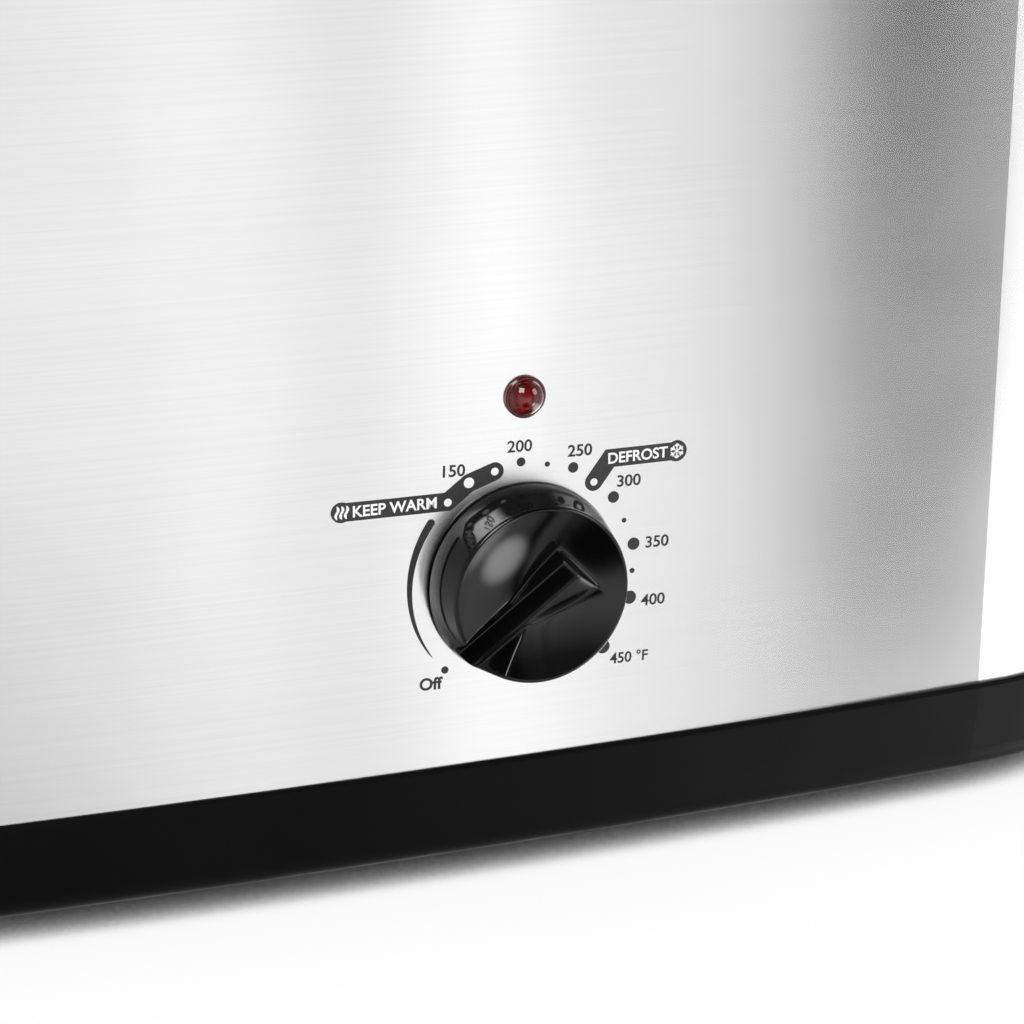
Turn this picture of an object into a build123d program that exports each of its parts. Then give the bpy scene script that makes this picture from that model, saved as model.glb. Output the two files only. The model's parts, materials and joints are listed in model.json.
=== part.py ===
"""Electric roaster oven: a bowed oval body with a control knob, a lift-out pan and rack, and a hinged lid.

Millimetres, +Z up, front towards -Y. The origin is under the middle of the whole object, on the floor.
A section of the body is drawn as (outward, height): outward is measured from the face of the shell,
so it is negative inside the body, and the section is carried round the oval that the body has in plan.
"""

import os
from math import asin, atan2, cos, degrees, hypot, radians, sin, sqrt, tan

from build123d import *

# Body outline, seen from above: long bowed sides, shorter bowed ends, four corner arcs
body_length = 520.0
body_depth = 372.0
side_bow = 2600.0
end_bow = 420.0
corner_radius = 128.0

# Gaps between neighbours
fit = 0.1  # pieces that are fixed together
play = 0.3  # pieces that move apart
turning = 0.06  # radial, round a shaft that turns

# Base, feet and shell
foot_height = 8.0
foot_radius = 13.0
foot_neck = 4.0
foot_inset = 62.0
base_height = 28.0
base_wall = 2.5
base_proud = 1.6
base_tuck = 3.0
base_curve = 9.0
lip_depth = 4.0
ledge_width = 4.5
vent_length = 58.0
vent_width = 4.0
vent_pitch = 12.0
vent_count = 5
shell_height = 202.0
shell_sheet = 0.8
shell_flange = 12.0
shell_edge = 3.0
seam_spread = 248.0  # between the two seams of the rear panel
seam_flange = 11.0

# Heating well, heater, insulation and shield
well_gap = 30.0
well_rim_inset = 3.0
under_well = 22.0  # from the heat shield to the well's floor
well_sheet = 0.8
well_curve = 12.0
wall_draft = 2.5
heater_rise = 62.0  # from the well's floor to the band's lower edge
heater_width = 40.0
heater_thickness = 2.4
heater_split = 12.0
ear_reach = 12.0
ear_thickness = 2.0
ear_height = 20.0
clamp_radius = 2.0
clamp_overhang = 9.0
blanket_thickness = 8.0
blanket_margin = 10.0
blanket_split = 44.0
window_width = 84.0
window_height = 44.0
shield_sheet = 0.8
shield_inset = 14.0
shield_rim = 8.0
tie_spread = 240.0
tie_radius = 2.5
tie_head_radius = 6.0
tie_head_height = 3.0
boss_radius = 6.5
boss_height = 8.0
spacer_radius = 5.0

# Pan and rack
pan_gap = 38.0
under_pan = 9.5  # the air space between the well's floor and the pan's
pan_wall = 1.2
pan_curve = 24.0
pan_rim_inset = 8.0
pan_lip_height = 3.2
pan_lip_width = 2.4
rack_wire = 2.5
rack_rung = 1.6
rack_inset = 6.0
rack_leg = 14.0
rung_pitch = 24.0
loop_width = 70.0
loop_height = 92.0
loop_corner = 16.0

# Lid
lid_sheet = 0.8
lid_rim_inset = 11.0
lid_hem_width = 3.0
lid_hem_height = 2.0
dome_foot = 20.0
dome_lean = 12.0
dome_wall = 25.0
dome_shoulder = 55.0
dome_shoulder_turn = 63.0
dome_crown = 150.0

# Lid handle, on the front of the dome
lid_grip_width = 150.0
lid_grip_reach = 36.0
lid_grip_bar = 14.0
lid_grip_leg = 22.0
lid_grip_height = 15.0
lid_grip_rise = 6.0
lid_screw_length = 14.0
grip_round = 5.0

# Side handles
handle_width = 136.0
handle_reach = 44.0
handle_bar = 18.0
handle_leg = 20.0
handle_height = 20.0
handle_drop = 62.0  # from the shell's top to the handle's middle
screw_radius = 2.0
screw_head_radius = 4.0
screw_head_height = 2.4
screw_length = 16.0

# Hinge: open-topped cradles on the body, arms and pins on the lid
hinge_spread = 180.0
hinge_reach = 14.0
hinge_rise = 12.0
pin_radius = 3.0
cradle_radius = 10.0
cradle_top = 5.0
cheek = 5.0
plate_thickness = 3.0
plate_height = 42.0
arm_width = 16.0
arm_thickness = 4.0
arm_rise = 5.0
arm_leaf = 2.5
arm_leaf_height = 26.0
knuckle_radius = 7.0
horn_length = 10.0
horn_width = 6.0
lid_open = 95.0
hinge_screw_pitch = 16.0
rivet_radius = 1.6
rivet_head_radius = 3.2
rivet_head_height = 1.4
rivet_pitch = 8.0

# Dial: knob, shaft and thermostat
dial_rise = 47.4  # from the base's top edge to the knob's axis
knob_radius = 25.0
knob_gap = 0.8
knob_shoulder = 24.0
knob_shoulder_height = 9.5
knob_face_radius = 20.3
knob_face_height = 12.0
dish_depth = 4.5
bar_width = 6.6
bar_front = 17.8
bar_end = 9.3
bar_slope = 21.0
bar_nose = 1.2
trough_radius = 15.0
knob_back_radius = 22.0
knob_back_depth = 1.6
knob_wall = 2.2
hub_radius = 6.2
off_angle = 225.0  # round the dial, from three o'clock
shaft_radius = 3.0
shaft_flat = 0.8
clip_sheet = 0.7
clip_height = 3.0
bush_radius = 4.9
bush_length = 5.0
dial_hole = 5.5
bracket_setback = 9.0
bracket_sheet = 1.2
bracket_width = 50.0
bracket_height = 34.0
bracket_foot = 10.0
thermostat_width = 32.0
thermostat_height = 30.0
thermostat_depth = 16.0
nut_across = 13.0
nut_height = 3.0

# Indicator lamp
lamp_rise = 47.0  # from the knob's axis
bezel_radius = 5.3
bezel_height = 1.2
bezel_neck = 4.0
bezel_wall = 0.5
lens_radius = 4.6
lens_rise = 3.0
lens_depth = 4.0
neon_radius = 2.0
neon_length = 9.0
lamp_clip_radius = 7.0
lamp_clip_sheet = 0.6

# Cord inlet and terminal block
inlet_x = -100.0
inlet_rise = 22.0
inlet_bore = 3.75
inlet_neck = 7.5
inlet_flange = 10.5
inlet_flange_height = 3.5
inlet_length = 12.0
block_length = 42.0
block_width = 18.0
block_height = 13.0
block_inset = 48.0

# Heights that follow from these
base_bottom = foot_height
base_floor = base_bottom + base_wall
base_top = base_bottom + base_height
shell_foot = base_top - lip_depth
shell_top = base_top + shell_height
shield_bottom = base_top
well_rim = shell_top + well_sheet
well_floor = shield_bottom + shield_sheet + under_well
pan_rim = well_rim + play
pan_seat = pan_rim + pan_wall
pan_floor = well_floor + well_sheet + under_pan
lid_rim = pan_seat + play
dial_height = base_top + dial_rise
lamp_height = dial_height + lamp_rise
hinge_height = shell_top + hinge_rise

# The knob stands out in front and the hinge behind, and the origin is midway between their tips
front_reach = max(bar_front, lid_grip_reach - dome_foot)
hinge_x = hinge_spread / 2
hinge_fall = side_bow - sqrt(side_bow**2 - hinge_x**2)  # the rear face's own bow at a hinge
rear_reach = hinge_reach + cradle_radius - hinge_fall
centre_y = (front_reach - rear_reach) / 2
front_y = centre_y - body_depth / 2
rear_y = centre_y + body_depth / 2

section = Plane(origin=(0, front_y, 0), x_dir=(0, -1, 0), z_dir=(-1, 0, 0))
dial = Plane(origin=(0, front_y, dial_height), x_dir=(1, 0, 0), z_dir=(0, -1, 0))
lamp = Plane(origin=(0, front_y, lamp_height), x_dir=(1, 0, 0), z_dir=(0, -1, 0))


def well_face(height):
    """The outward place of the well's outer face, which leans inwards below the rim."""
    return -well_gap - (shell_top - height) * tan(radians(wall_draft))


def pan_face(height):
    """The outward place of the pan's outer face."""
    return -pan_gap - (pan_rim - height) * tan(radians(wall_draft))


def corner_centre():
    """The centre of the corner arc that is tangent to a long side and to an end."""
    side_y = side_bow - body_depth / 2
    end_x = body_length / 2 - end_bow
    side_reach = side_bow - corner_radius
    end_reach = end_bow - corner_radius
    apart = hypot(end_x, side_y)
    along = (side_reach**2 - end_reach**2 + apart**2) / (2 * apart)
    across = sqrt(side_reach**2 - along**2)
    to_x, to_y = end_x / apart, -side_y / apart
    return along * to_x - across * to_y, side_y + along * to_y + across * to_x


def draw_oval(grow=0.0):
    """Draw the body's outline on the current line, moved outwards by grow."""
    x, y = corner_centre()
    side_turn = degrees(atan2(x, side_bow - body_depth / 2 - y))
    end_turn = degrees(atan2(-y, x - (body_length / 2 - end_bow)))
    corner = (corner_radius + grow, 90 - side_turn - end_turn)
    end = (end_bow + grow, 2 * end_turn)
    side = (side_bow + grow, 2 * side_turn)
    half_side = (side_bow + grow, side_turn)
    arc = JernArc((0, front_y - grow), (1, 0), *half_side)
    for turn in (corner, end, corner, side, corner, end, corner, half_side):
        arc = JernArc(arc @ 1, arc % 1, *turn)


with BuildLine() as oval:
    draw_oval()


def carry_round(*outline, rounds=(), mode=Mode.ADD):
    """Carry a closed outline of (outward, height) points round the oval, with some corners rounded."""
    with BuildSketch(section) as profile:
        with BuildLine():
            Polyline(*outline, close=True)
        make_face()
        for corner, radius in rounds:
            fillet(profile.vertices().sort_by_distance((*corner, 0))[0], radius)
    sweep(profile.sketch, path=oval.line, mode=mode)


def fill_oval(grow, bottom, thickness, mode=Mode.ADD):
    """A flat plate of the body's outline, moved outwards by grow."""
    with BuildSketch(Plane.XY.offset(bottom)) as plate:
        with BuildLine():
            draw_oval(grow)
        make_face()
    extrude(plate.sketch, amount=thickness, mode=mode)


def turn(plane, *outline, mode=Mode.ADD):
    """Turn a closed outline of (radius, height) points about the plane's own normal."""
    side = Plane(origin=plane.origin, x_dir=plane.x_dir, z_dir=-plane.y_dir)
    with BuildSketch(side) as profile:
        with BuildLine():
            Polyline(*outline, close=True)
        make_face()
    revolve(profile.sketch, axis=Axis(plane.origin, plane.z_dir), mode=mode)


def drill(plane, radius, start, end):
    """Cut a round hole along the plane's normal, from start to end."""
    with BuildSketch(plane.offset(start)) as hole:
        Circle(radius)
    extrude(hole.sketch, amount=end - start, mode=Mode.SUBTRACT)


def write(piece, name):
    """Label a finished piece and write it."""
    piece.part.label = name
    export_step(piece.part, f"parts/{name}.step")


os.makedirs("parts", exist_ok=True)

# Places that several pieces share
foot_x = body_length / 2 - foot_inset
foot_y = body_depth / 2 - foot_inset
feet = {
    "front_left": (-foot_x, centre_y - foot_y),
    "front_right": (foot_x, centre_y - foot_y),
    "rear_left": (-foot_x, centre_y + foot_y),
    "rear_right": (foot_x, centre_y + foot_y),
}
ties = [Plane(origin=(side * tie_spread / 2, centre_y, 0)) for side in (-1, 1)]
sides = {"left": -1, "right": 1}


def on_long_side(side, x, outward, height, lean=0.0):
    """A plane square to the front (side -1) or rear (side 1) face, moved outwards and leaned back."""
    bow = side_bow + outward
    turn_by = asin(x / bow)
    y = centre_y + side * (body_depth / 2 + outward - bow * (1 - cos(turn_by)))
    level = cos(radians(lean))
    facing = (sin(turn_by) * level, side * cos(turn_by) * level, sin(radians(lean)))
    return Plane(origin=(x, y, height), z_dir=facing)


def on_end(side, y, height):
    """A plane square to the left (side -1) or right (side 1) end of the shell, y from its middle."""
    turn_by = asin(y / end_bow)
    x = side * (body_length / 2 - end_bow * (1 - cos(turn_by)))
    return Plane(origin=(x, centre_y + y, height), z_dir=(side * cos(turn_by), sin(turn_by), 0))


def on_dome(side, x, along):
    """A plane square to the dome's straight wall, along it from its foot."""
    lean = radians(dome_lean)
    return on_long_side(side, x, -dome_foot - along * sin(lean), lid_rim + along * cos(lean), dome_lean)


inlet = on_long_side(1, inlet_x, 0, base_top + inlet_rise)
handle_middle = shell_top - handle_drop
handle_screw_y = (handle_width - handle_leg) / 2
handle_planes = {
    name: [on_end(side, end * handle_screw_y, handle_middle) for end in (-1, 1)]
    for name, side in sides.items()
}
plate_top = shell_top - cradle_top
plate_low = plate_top - plate_height
hinge_screw_rise = (plate_height - hinge_screw_pitch) / 4
hinge_planes = {
    name: [
        on_long_side(1, side * hinge_x, 0, plate_low + hinge_screw_rise + step * hinge_screw_pitch)
        for step in (0, 1)
    ]
    for name, side in sides.items()
}
grip_middle = lid_grip_rise + lid_grip_height / 2
grip_screw_x = (lid_grip_width - lid_grip_leg) / 2
grip_planes = [on_dome(-1, end * grip_screw_x, grip_middle / cos(radians(dome_lean))) for end in (-1, 1)]
rivet_planes = {
    name: [on_dome(1, side * hinge_x, arm_leaf_height - (0.5 + step) * rivet_pitch) for step in (0, 1)]
    for name, side in sides.items()
}


def hinge_side(side):
    """The plane of a hinge's side view, through its middle: (rearward, height)."""
    return Plane(origin=(side * hinge_x, rear_y - hinge_fall, 0), x_dir=(0, 1, 0), z_dir=(1, 0, 0))

# Base: a black moulded tray whose lip takes the foot of the shell
with BuildPart() as base_skirt:
    wall_slope = (base_proud + base_tuck) / base_height
    under_ledge = shell_foot - base_wall
    inner_top = base_proud - (base_top - under_ledge) * wall_slope - base_wall
    inner_foot = -base_tuck - base_wall
    floor_edge = inner_foot - base_curve
    carry_round(
        (base_proud, base_top),
        (fit, base_top),
        (fit, shell_foot),
        (-ledge_width, shell_foot),
        (-ledge_width, under_ledge),
        (inner_top, under_ledge),
        (inner_foot, base_floor),
        (floor_edge, base_floor),
        (floor_edge, base_bottom),
        (-base_tuck, base_bottom),
        rounds=(
            ((base_proud, base_top), 1.0),
            ((-base_tuck, base_bottom), base_curve),
            ((inner_foot, base_floor), base_curve - base_wall),
        ),
    )
    fill_oval(floor_edge + 1, base_bottom, base_wall)
    for x, y in feet.values():
        drill(Plane(origin=(x, y, 0)), foot_neck + fit, base_bottom, base_floor)
    for tie in ties:
        drill(tie, tie_radius + fit, base_bottom, base_floor)
    with BuildSketch(Plane.XY.offset(base_bottom)):
        with Locations((0, centre_y)):
            with GridLocations(0, vent_pitch, 1, vent_count):
                SlotOverall(vent_length, vent_width)
    extrude(amount=base_wall, mode=Mode.SUBTRACT)
write(base_skirt, "base_skirt")

# Feet: rubber, each with a neck and a barb pressed through the base's floor
for name, (x, y) in feet.items():
    with BuildPart() as foot:
        turn(
            Plane(origin=(x, y, 0)),
            (0, 0),
            (foot_radius - 1.5, 0),
            (foot_radius, 1.5),
            (foot_radius - 1, base_bottom),
            (foot_neck, base_bottom),
            (foot_neck, base_floor),
            (foot_neck + 1.5, base_floor),
            (foot_neck, base_floor + 3),
            (0, base_floor + 3),
        )
    write(foot, f"foot_{name}")



def carry_shell():
    """The shell's sheet carried right round the body, with its top edge turned in."""
    carry_round(
        (0, shell_foot),
        (0, shell_top),
        (-shell_flange, shell_top),
        (-shell_flange, shell_top - shell_sheet),
        (-shell_sheet, shell_top - shell_sheet),
        (-shell_sheet, shell_foot),
        rounds=(
            ((0, shell_top), shell_edge),
            ((-shell_sheet, shell_top - shell_sheet), shell_edge - shell_sheet),
        ),
    )


def rear_strips(start, end, mode):
    """Keep or cut what stands behind the body's middle, from start to end to either side of it."""
    with BuildSketch(Plane.XY.offset(shell_foot)) as strips:
        for side in (-1, 1):
            with Locations((side * (start + end) / 2, centre_y + body_depth / 2)):
                Rectangle(end - start, body_depth)
    extrude(strips.sketch, amount=shell_top - shell_foot, mode=mode)


def add_seam_flanges(start):
    """Turn the sheet in at both seams: two upright flanges, one sheet thick, outwards from start."""
    with BuildPart(mode=Mode.PRIVATE) as flanges:
        carry_round(
            (0, shell_foot),
            (0, shell_top),
            (-seam_flange, shell_top),
            (-seam_flange, shell_foot),
            rounds=(((0, shell_top), shell_edge),),
        )
        rear_strips(start, start + shell_sheet, Mode.INTERSECT)
    add(flanges.part)


# Shell: a steel wrap for the front and both ends
with BuildPart() as outer_shell:
    carry_shell()
    rear_strips(0, seam_spread / 2 + fit / 2, Mode.SUBTRACT)
    add_seam_flanges(seam_spread / 2 + fit / 2)
    drill(dial, dial_hole, -2, 2)
    drill(lamp, bezel_neck + fit, -2, 2)
    for name in sides:
        for screw in handle_planes[name]:
            drill(screw, screw_radius + fit, -2, 2)
write(outer_shell, "outer_shell")

# Rear panel: the same sheet between the wrap's ends, welded to them flange to flange
with BuildPart() as rear_panel:
    carry_shell()
    rear_strips(0, seam_spread / 2 - fit / 2, Mode.INTERSECT)
    add_seam_flanges(seam_spread / 2 - fit / 2 - shell_sheet)
    drill(inlet, inlet_neck + fit, -2, 2)
    for name in sides:
        for screw in hinge_planes[name]:
            drill(screw, screw_radius + fit, -2, 2)
write(rear_panel, "rear_panel")

# Well: a drawn liner that hangs by its rim on the shell, with two bosses for the tie bolts
with BuildPart() as heating_well:
    bottom = well_face(well_floor)
    carry_round(
        (-well_rim_inset, shell_top),
        (-well_gap, shell_top),
        (bottom, well_floor),
        (bottom - 2 * well_curve, well_floor),
        (bottom - 2 * well_curve, well_floor + well_sheet),
        (bottom - well_sheet, well_floor + well_sheet),
        (-well_gap - well_sheet, well_rim),
        (-well_rim_inset, well_rim),
        rounds=(
            ((-well_gap, shell_top), 3.0),
            ((-well_gap - well_sheet, well_rim), 3.0 + well_sheet),
            ((bottom, well_floor), well_curve),
            ((bottom - well_sheet, well_floor + well_sheet), well_curve - well_sheet),
        ),
    )
    fill_oval(bottom - 2 * well_curve + 1, well_floor, well_sheet)
    for tie in ties:
        boss_foot = well_floor - boss_height
        turn(
            tie,
            (tie_radius + fit, boss_foot),
            (boss_radius, boss_foot),
            (boss_radius, well_floor),
            (tie_radius + fit, well_floor),
        )
write(heating_well, "heating_well")

# Heater: a flat band round the well, split at the rear where its two ears are drawn together
heater_bottom = well_floor + heater_rise
heater_top = heater_bottom + heater_width
heater_middle = (heater_bottom + heater_top) / 2
clamp_y = rear_y + well_face(heater_middle) + heater_thickness + ear_reach / 2
clamp = Plane(origin=(0, clamp_y, heater_middle), x_dir=(0, 1, 0), z_dir=(1, 0, 0))
ear_outside = heater_split / 2 + ear_thickness
with BuildPart() as heater_band:
    carry_round(
        (well_face(heater_bottom) + fit, heater_bottom),
        (well_face(heater_bottom) + heater_thickness, heater_bottom),
        (well_face(heater_top) + heater_thickness, heater_top),
        (well_face(heater_top) + fit, heater_top),
    )
    with Locations((0, rear_y, heater_middle)):
        Box(heater_split, 4 * well_gap, 2 * heater_width, mode=Mode.SUBTRACT)
    for side in (-1, 1):
        ear_foot = rear_y + well_face(heater_middle) + heater_thickness / 2
        ear_tip = rear_y + well_face(heater_middle) + heater_thickness + ear_reach
        with Locations((side * (heater_split + ear_thickness) / 2, (ear_foot + ear_tip) / 2, heater_middle)):
            Box(ear_thickness, ear_tip - ear_foot, ear_height)
    drill(clamp, clamp_radius + fit, -ear_outside, ear_outside)
write(heater_band, "heater_band")

# Clamp bolt across the heater's ears, with its spring under the head and its nut
with BuildPart() as clamp_bolt:
    turn(
        clamp,
        (0, -ear_outside - fit),
        (clamp_radius, -ear_outside - fit),
        (clamp_radius, ear_outside + clamp_overhang),
        (2 * clamp_radius, ear_outside + clamp_overhang),
        (2 * clamp_radius, ear_outside + clamp_overhang + clamp_radius),
        (0, ear_outside + clamp_overhang + clamp_radius),
    )
    with BuildSketch(clamp.offset(-ear_outside - 2 * clamp_radius)):
        RegularPolygon(2 * clamp_radius, 6)
    extrude(amount=2 * clamp_radius - fit)
write(clamp_bolt, "clamp_bolt")

with BuildPart() as clamp_spring:
    turn(
        clamp,
        (clamp_radius + fit, ear_outside),
        (clamp_radius + 1.6, ear_outside),
        (clamp_radius + 1.6, ear_outside + clamp_overhang - fit),
        (clamp_radius + fit, ear_outside + clamp_overhang - fit),
    )
write(clamp_spring, "clamp_spring")

# Insulation: a glass-wool blanket outside the heater, open at the thermostat and at the clamp
with BuildPart() as insulation_blanket:
    blanket_bottom = well_floor + well_curve
    blanket_top = shell_top - blanket_margin
    inner_step = heater_thickness + 2 * fit
    outer_step = inner_step + blanket_thickness
    carry_round(
        (well_face(blanket_bottom) + inner_step, blanket_bottom),
        (well_face(blanket_bottom) + outer_step, blanket_bottom),
        (well_face(blanket_top) + outer_step, blanket_top),
        (well_face(blanket_top) + inner_step, blanket_top),
    )
    with Locations((0, rear_y, (blanket_bottom + blanket_top) / 2)):
        Box(blanket_split, 4 * well_gap, shell_height, mode=Mode.SUBTRACT)
    with Locations((0, front_y, blanket_bottom)):
        Box(window_width, 4 * well_gap, 2 * window_height, mode=Mode.SUBTRACT)
write(insulation_blanket, "insulation_blanket")

# Heat shield: an aluminium tray between the well and the base, held on the tie bolts by spacers
with BuildPart() as heat_shield:
    carry_round(
        (-shield_inset, shield_bottom),
        (-shield_inset, shield_bottom + shield_rim),
        (-shield_inset - shield_sheet, shield_bottom + shield_rim),
        (-shield_inset - shield_sheet, shield_bottom + shield_sheet),
        (-2 * shield_inset, shield_bottom + shield_sheet),
        (-2 * shield_inset, shield_bottom),
    )
    fill_oval(1 - 2 * shield_inset, shield_bottom, shield_sheet)
    for tie in ties:
        drill(tie, tie_radius + fit, shield_bottom, shield_bottom + shield_sheet)
write(heat_shield, "heat_shield")

spacer_spans = {
    "lower_spacers": (base_floor, shield_bottom),
    "upper_spacers": (shield_bottom + shield_sheet, well_floor - boss_height),
}
for name, (low, high) in spacer_spans.items():
    with BuildPart() as spacers:
        for tie in ties:
            turn(
                tie,
                (tie_radius + fit, low),
                (spacer_radius, low),
                (spacer_radius, high),
                (tie_radius + fit, high),
            )
    write(spacers, name)

with BuildPart() as tie_bolts:
    for tie in ties:
        turn(
            tie,
            (0, base_bottom - tie_head_height),
            (tie_head_radius - 1, base_bottom - tie_head_height),
            (tie_head_radius, base_bottom - 1),
            (tie_head_radius, base_bottom),
            (tie_radius, base_bottom),
            (tie_radius, well_floor - 1),
            (0, well_floor - 1),
        )
write(tie_bolts, "tie_bolts")

# Thermostat: on a strap bent to stand off the front of the well
plate_front = -bracket_setback
plate_back = plate_front - bracket_sheet
bracket_back = well_face(dial_height + bracket_height / 2) + fit
with BuildPart() as thermostat_bracket:
    with BuildSketch(Plane.XY.offset(dial_height - bracket_height / 2)):
        with BuildLine():
            half = bracket_width / 2
            Polyline(
                (-half - bracket_foot, front_y - bracket_back),
                (-half - bracket_foot, front_y - bracket_back - bracket_sheet),
                (-half, front_y - bracket_back - bracket_sheet),
                (-half, front_y - plate_front),
                (half, front_y - plate_front),
                (half, front_y - bracket_back - bracket_sheet),
                (half + bracket_foot, front_y - bracket_back - bracket_sheet),
                (half + bracket_foot, front_y - bracket_back),
                (half - bracket_sheet, front_y - bracket_back),
                (half - bracket_sheet, front_y - plate_back),
                (-half + bracket_sheet, front_y - plate_back),
                (-half + bracket_sheet, front_y - bracket_back),
                close=True,
            )
        make_face()
    extrude(amount=bracket_height)
    drill(dial, bush_radius + fit, plate_back - 1, plate_front + 1)
write(thermostat_bracket, "thermostat_bracket")

bush_tip = plate_front + bush_length
shaft_tail = plate_back - thermostat_depth / 2
with BuildPart() as thermostat_body:
    with BuildSketch(dial.offset(plate_back)):
        RectangleRounded(thermostat_width, thermostat_height, 4)
    extrude(amount=-thermostat_depth)
    turn(
        dial,
        (0, plate_back - 1),
        (bush_radius, plate_back - 1),
        (bush_radius, bush_tip),
        (0, bush_tip),
    )
    drill(dial, shaft_radius + turning, shaft_tail - play, bush_tip)
write(thermostat_body, "thermostat_body")

with BuildPart() as thermostat_nut:
    with BuildSketch(dial.offset(plate_front)):
        RegularPolygon(nut_across / 2, 6, major_radius=False)
        Circle(bush_radius + fit, mode=Mode.SUBTRACT)
    extrude(amount=nut_height)
write(thermostat_nut, "thermostat_nut")

# Knob: a low drum with a dished face and a wedge-shaped grip bar that runs down to its rim at Off
dish_floor = knob_face_height - dish_depth
dish_radius = (knob_face_radius**2 + dish_depth**2) / (2 * dish_depth)
shaft_tip = dish_floor - knob_wall + 1
to_off = dial.x_dir * cos(radians(off_angle)) + dial.y_dir * sin(radians(off_angle))
bar_side = Plane(origin=dial.origin, x_dir=to_off, z_dir=to_off.cross(dial.z_dir))
slope = radians(bar_slope)
nose_centre = Vector(bar_nose - bar_end, bar_front - bar_nose)
nose_end = nose_centre + Vector(sin(slope), cos(slope)) * bar_nose
bar_foot = nose_end.Y - (knob_shoulder - nose_end.X) * tan(slope)
crest_start = bar_side.from_local_coords((nose_end.X - knob_radius, nose_end.Y + knob_radius * tan(slope)))
crest = Plane(origin=crest_start, x_dir=bar_side.z_dir, z_dir=to_off * cos(slope) - dial.z_dir * sin(slope))
with BuildPart() as control_knob:
    side_view = Plane(origin=dial.origin, x_dir=dial.x_dir, z_dir=-dial.y_dir)
    with BuildSketch(side_view):
        with BuildLine():
            side_wall = Line((knob_radius, knob_gap), (knob_shoulder, knob_shoulder_height))
            brow = TangentArc(
                side_wall @ 1, (knob_face_radius, knob_face_height), tangent=side_wall % 1
            )
            dish = RadiusArc(brow @ 1, (0, dish_floor), dish_radius)
            Polyline(dish @ 1, (0, knob_gap), (knob_radius, knob_gap))
        make_face()
    revolve(axis=Axis(dial.origin, dial.z_dir))
    with BuildSketch(crest):
        with Locations((0, -trough_radius)):
            Circle(trough_radius)
    extrude(amount=4 * knob_radius, mode=Mode.SUBTRACT)
    with BuildSketch(bar_side):
        with BuildLine():
            nose = CenterArc(nose_centre, bar_nose, 90 - bar_slope, 90 + bar_slope)
            Polyline(
                nose @ 1,
                (-bar_end - bar_nose, knob_gap + knob_wall),
                (knob_shoulder, knob_gap + knob_wall),
                (knob_shoulder, bar_foot),
                nose @ 0,
            )
        make_face()
    extrude(amount=bar_width / 2, both=True)
    turn(
        dial,
        (hub_radius, knob_gap),
        (hub_radius, dish_floor - knob_wall),
        (knob_face_radius / 2, dish_floor - knob_wall),
        (knob_back_radius, knob_gap + knob_back_depth),
        (knob_back_radius, knob_gap),
        mode=Mode.SUBTRACT,
    )
    with BuildSketch(dial.offset(knob_gap)):
        Circle(shaft_radius + fit / 2)
        with Locations((0, 2 * shaft_radius - shaft_flat + fit / 2)):
            Rectangle(4 * shaft_radius, 2 * shaft_radius, mode=Mode.SUBTRACT)
    extrude(amount=shaft_tip + fit - knob_gap, mode=Mode.SUBTRACT)
write(control_knob, "control_knob")

with BuildPart() as thermostat_shaft:
    turn(
        dial,
        (0, shaft_tail),
        (shaft_radius, shaft_tail),
        (shaft_radius, shaft_tip),
        (0, shaft_tip),
    )
    with BuildSketch(dial):
        with Locations((0, 2 * shaft_radius - shaft_flat)):
            Rectangle(4 * shaft_radius, 2 * shaft_radius)
    extrude(amount=shaft_tip, mode=Mode.SUBTRACT)
write(thermostat_shaft, "thermostat_shaft")

with BuildPart() as knob_clip:
    with BuildSketch(dial.offset(knob_gap + clip_sheet)):
        Circle(hub_radius + fit / 2 + clip_sheet)
        Circle(hub_radius + fit / 2, mode=Mode.SUBTRACT)
        with Locations((hub_radius, 0)):
            Rectangle(hub_radius, hub_radius / 2, mode=Mode.SUBTRACT)
    extrude(amount=clip_height)
write(knob_clip, "knob_clip")

# Indicator lamp: a clear red lens in a thin bezel, a neon behind it and a push-on clip inside the shell
with BuildPart() as lamp_bezel:
    turn(
        lamp,
        (bezel_neck - bezel_wall, -lens_depth),
        (bezel_neck, -lens_depth),
        (bezel_neck, fit),
        (bezel_radius, fit),
        (bezel_radius, bezel_height - 0.4),
        (bezel_radius - 0.4, bezel_height),
        (lens_radius + fit, bezel_height),
        (lens_radius + fit, 2 * bezel_wall - 0.2),
        (bezel_neck - bezel_wall, 2 * bezel_wall - 0.2),
    )
write(lamp_bezel, "lamp_bezel")

with BuildPart() as lamp_lens:
    lens_side = Plane(origin=lamp.origin, x_dir=lamp.x_dir, z_dir=-lamp.y_dir)
    lens_curve = (lens_radius**2 + lens_rise**2) / (2 * lens_rise)
    lens_neck = bezel_neck - bezel_wall - fit
    lens_seat = 2 * bezel_wall - 0.2
    with BuildSketch(lens_side):
        with BuildLine():
            rim = Line((lens_radius, lens_seat), (lens_radius, bezel_height))
            dome = RadiusArc(rim @ 1, (0, bezel_height + lens_rise), -lens_curve)
            Polyline(
                dome @ 1,
                (0, bezel_height),
                (neon_radius + fit, bezel_height),
                (neon_radius + fit, -lens_depth),
                (lens_neck, -lens_depth),
                (lens_neck, lens_seat),
                (lens_radius, lens_seat),
            )
        make_face()
    revolve(axis=Axis(lamp.origin, lamp.z_dir))
write(lamp_lens, "lamp_lens")

with BuildPart() as neon_lamp:
    turn(
        lamp,
        (0, -neon_length),
        (neon_radius, -neon_length),
        (neon_radius, 0),
        (neon_radius / 2, bezel_height - fit),
        (0, bezel_height - fit),
    )
write(neon_lamp, "neon_lamp")

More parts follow.
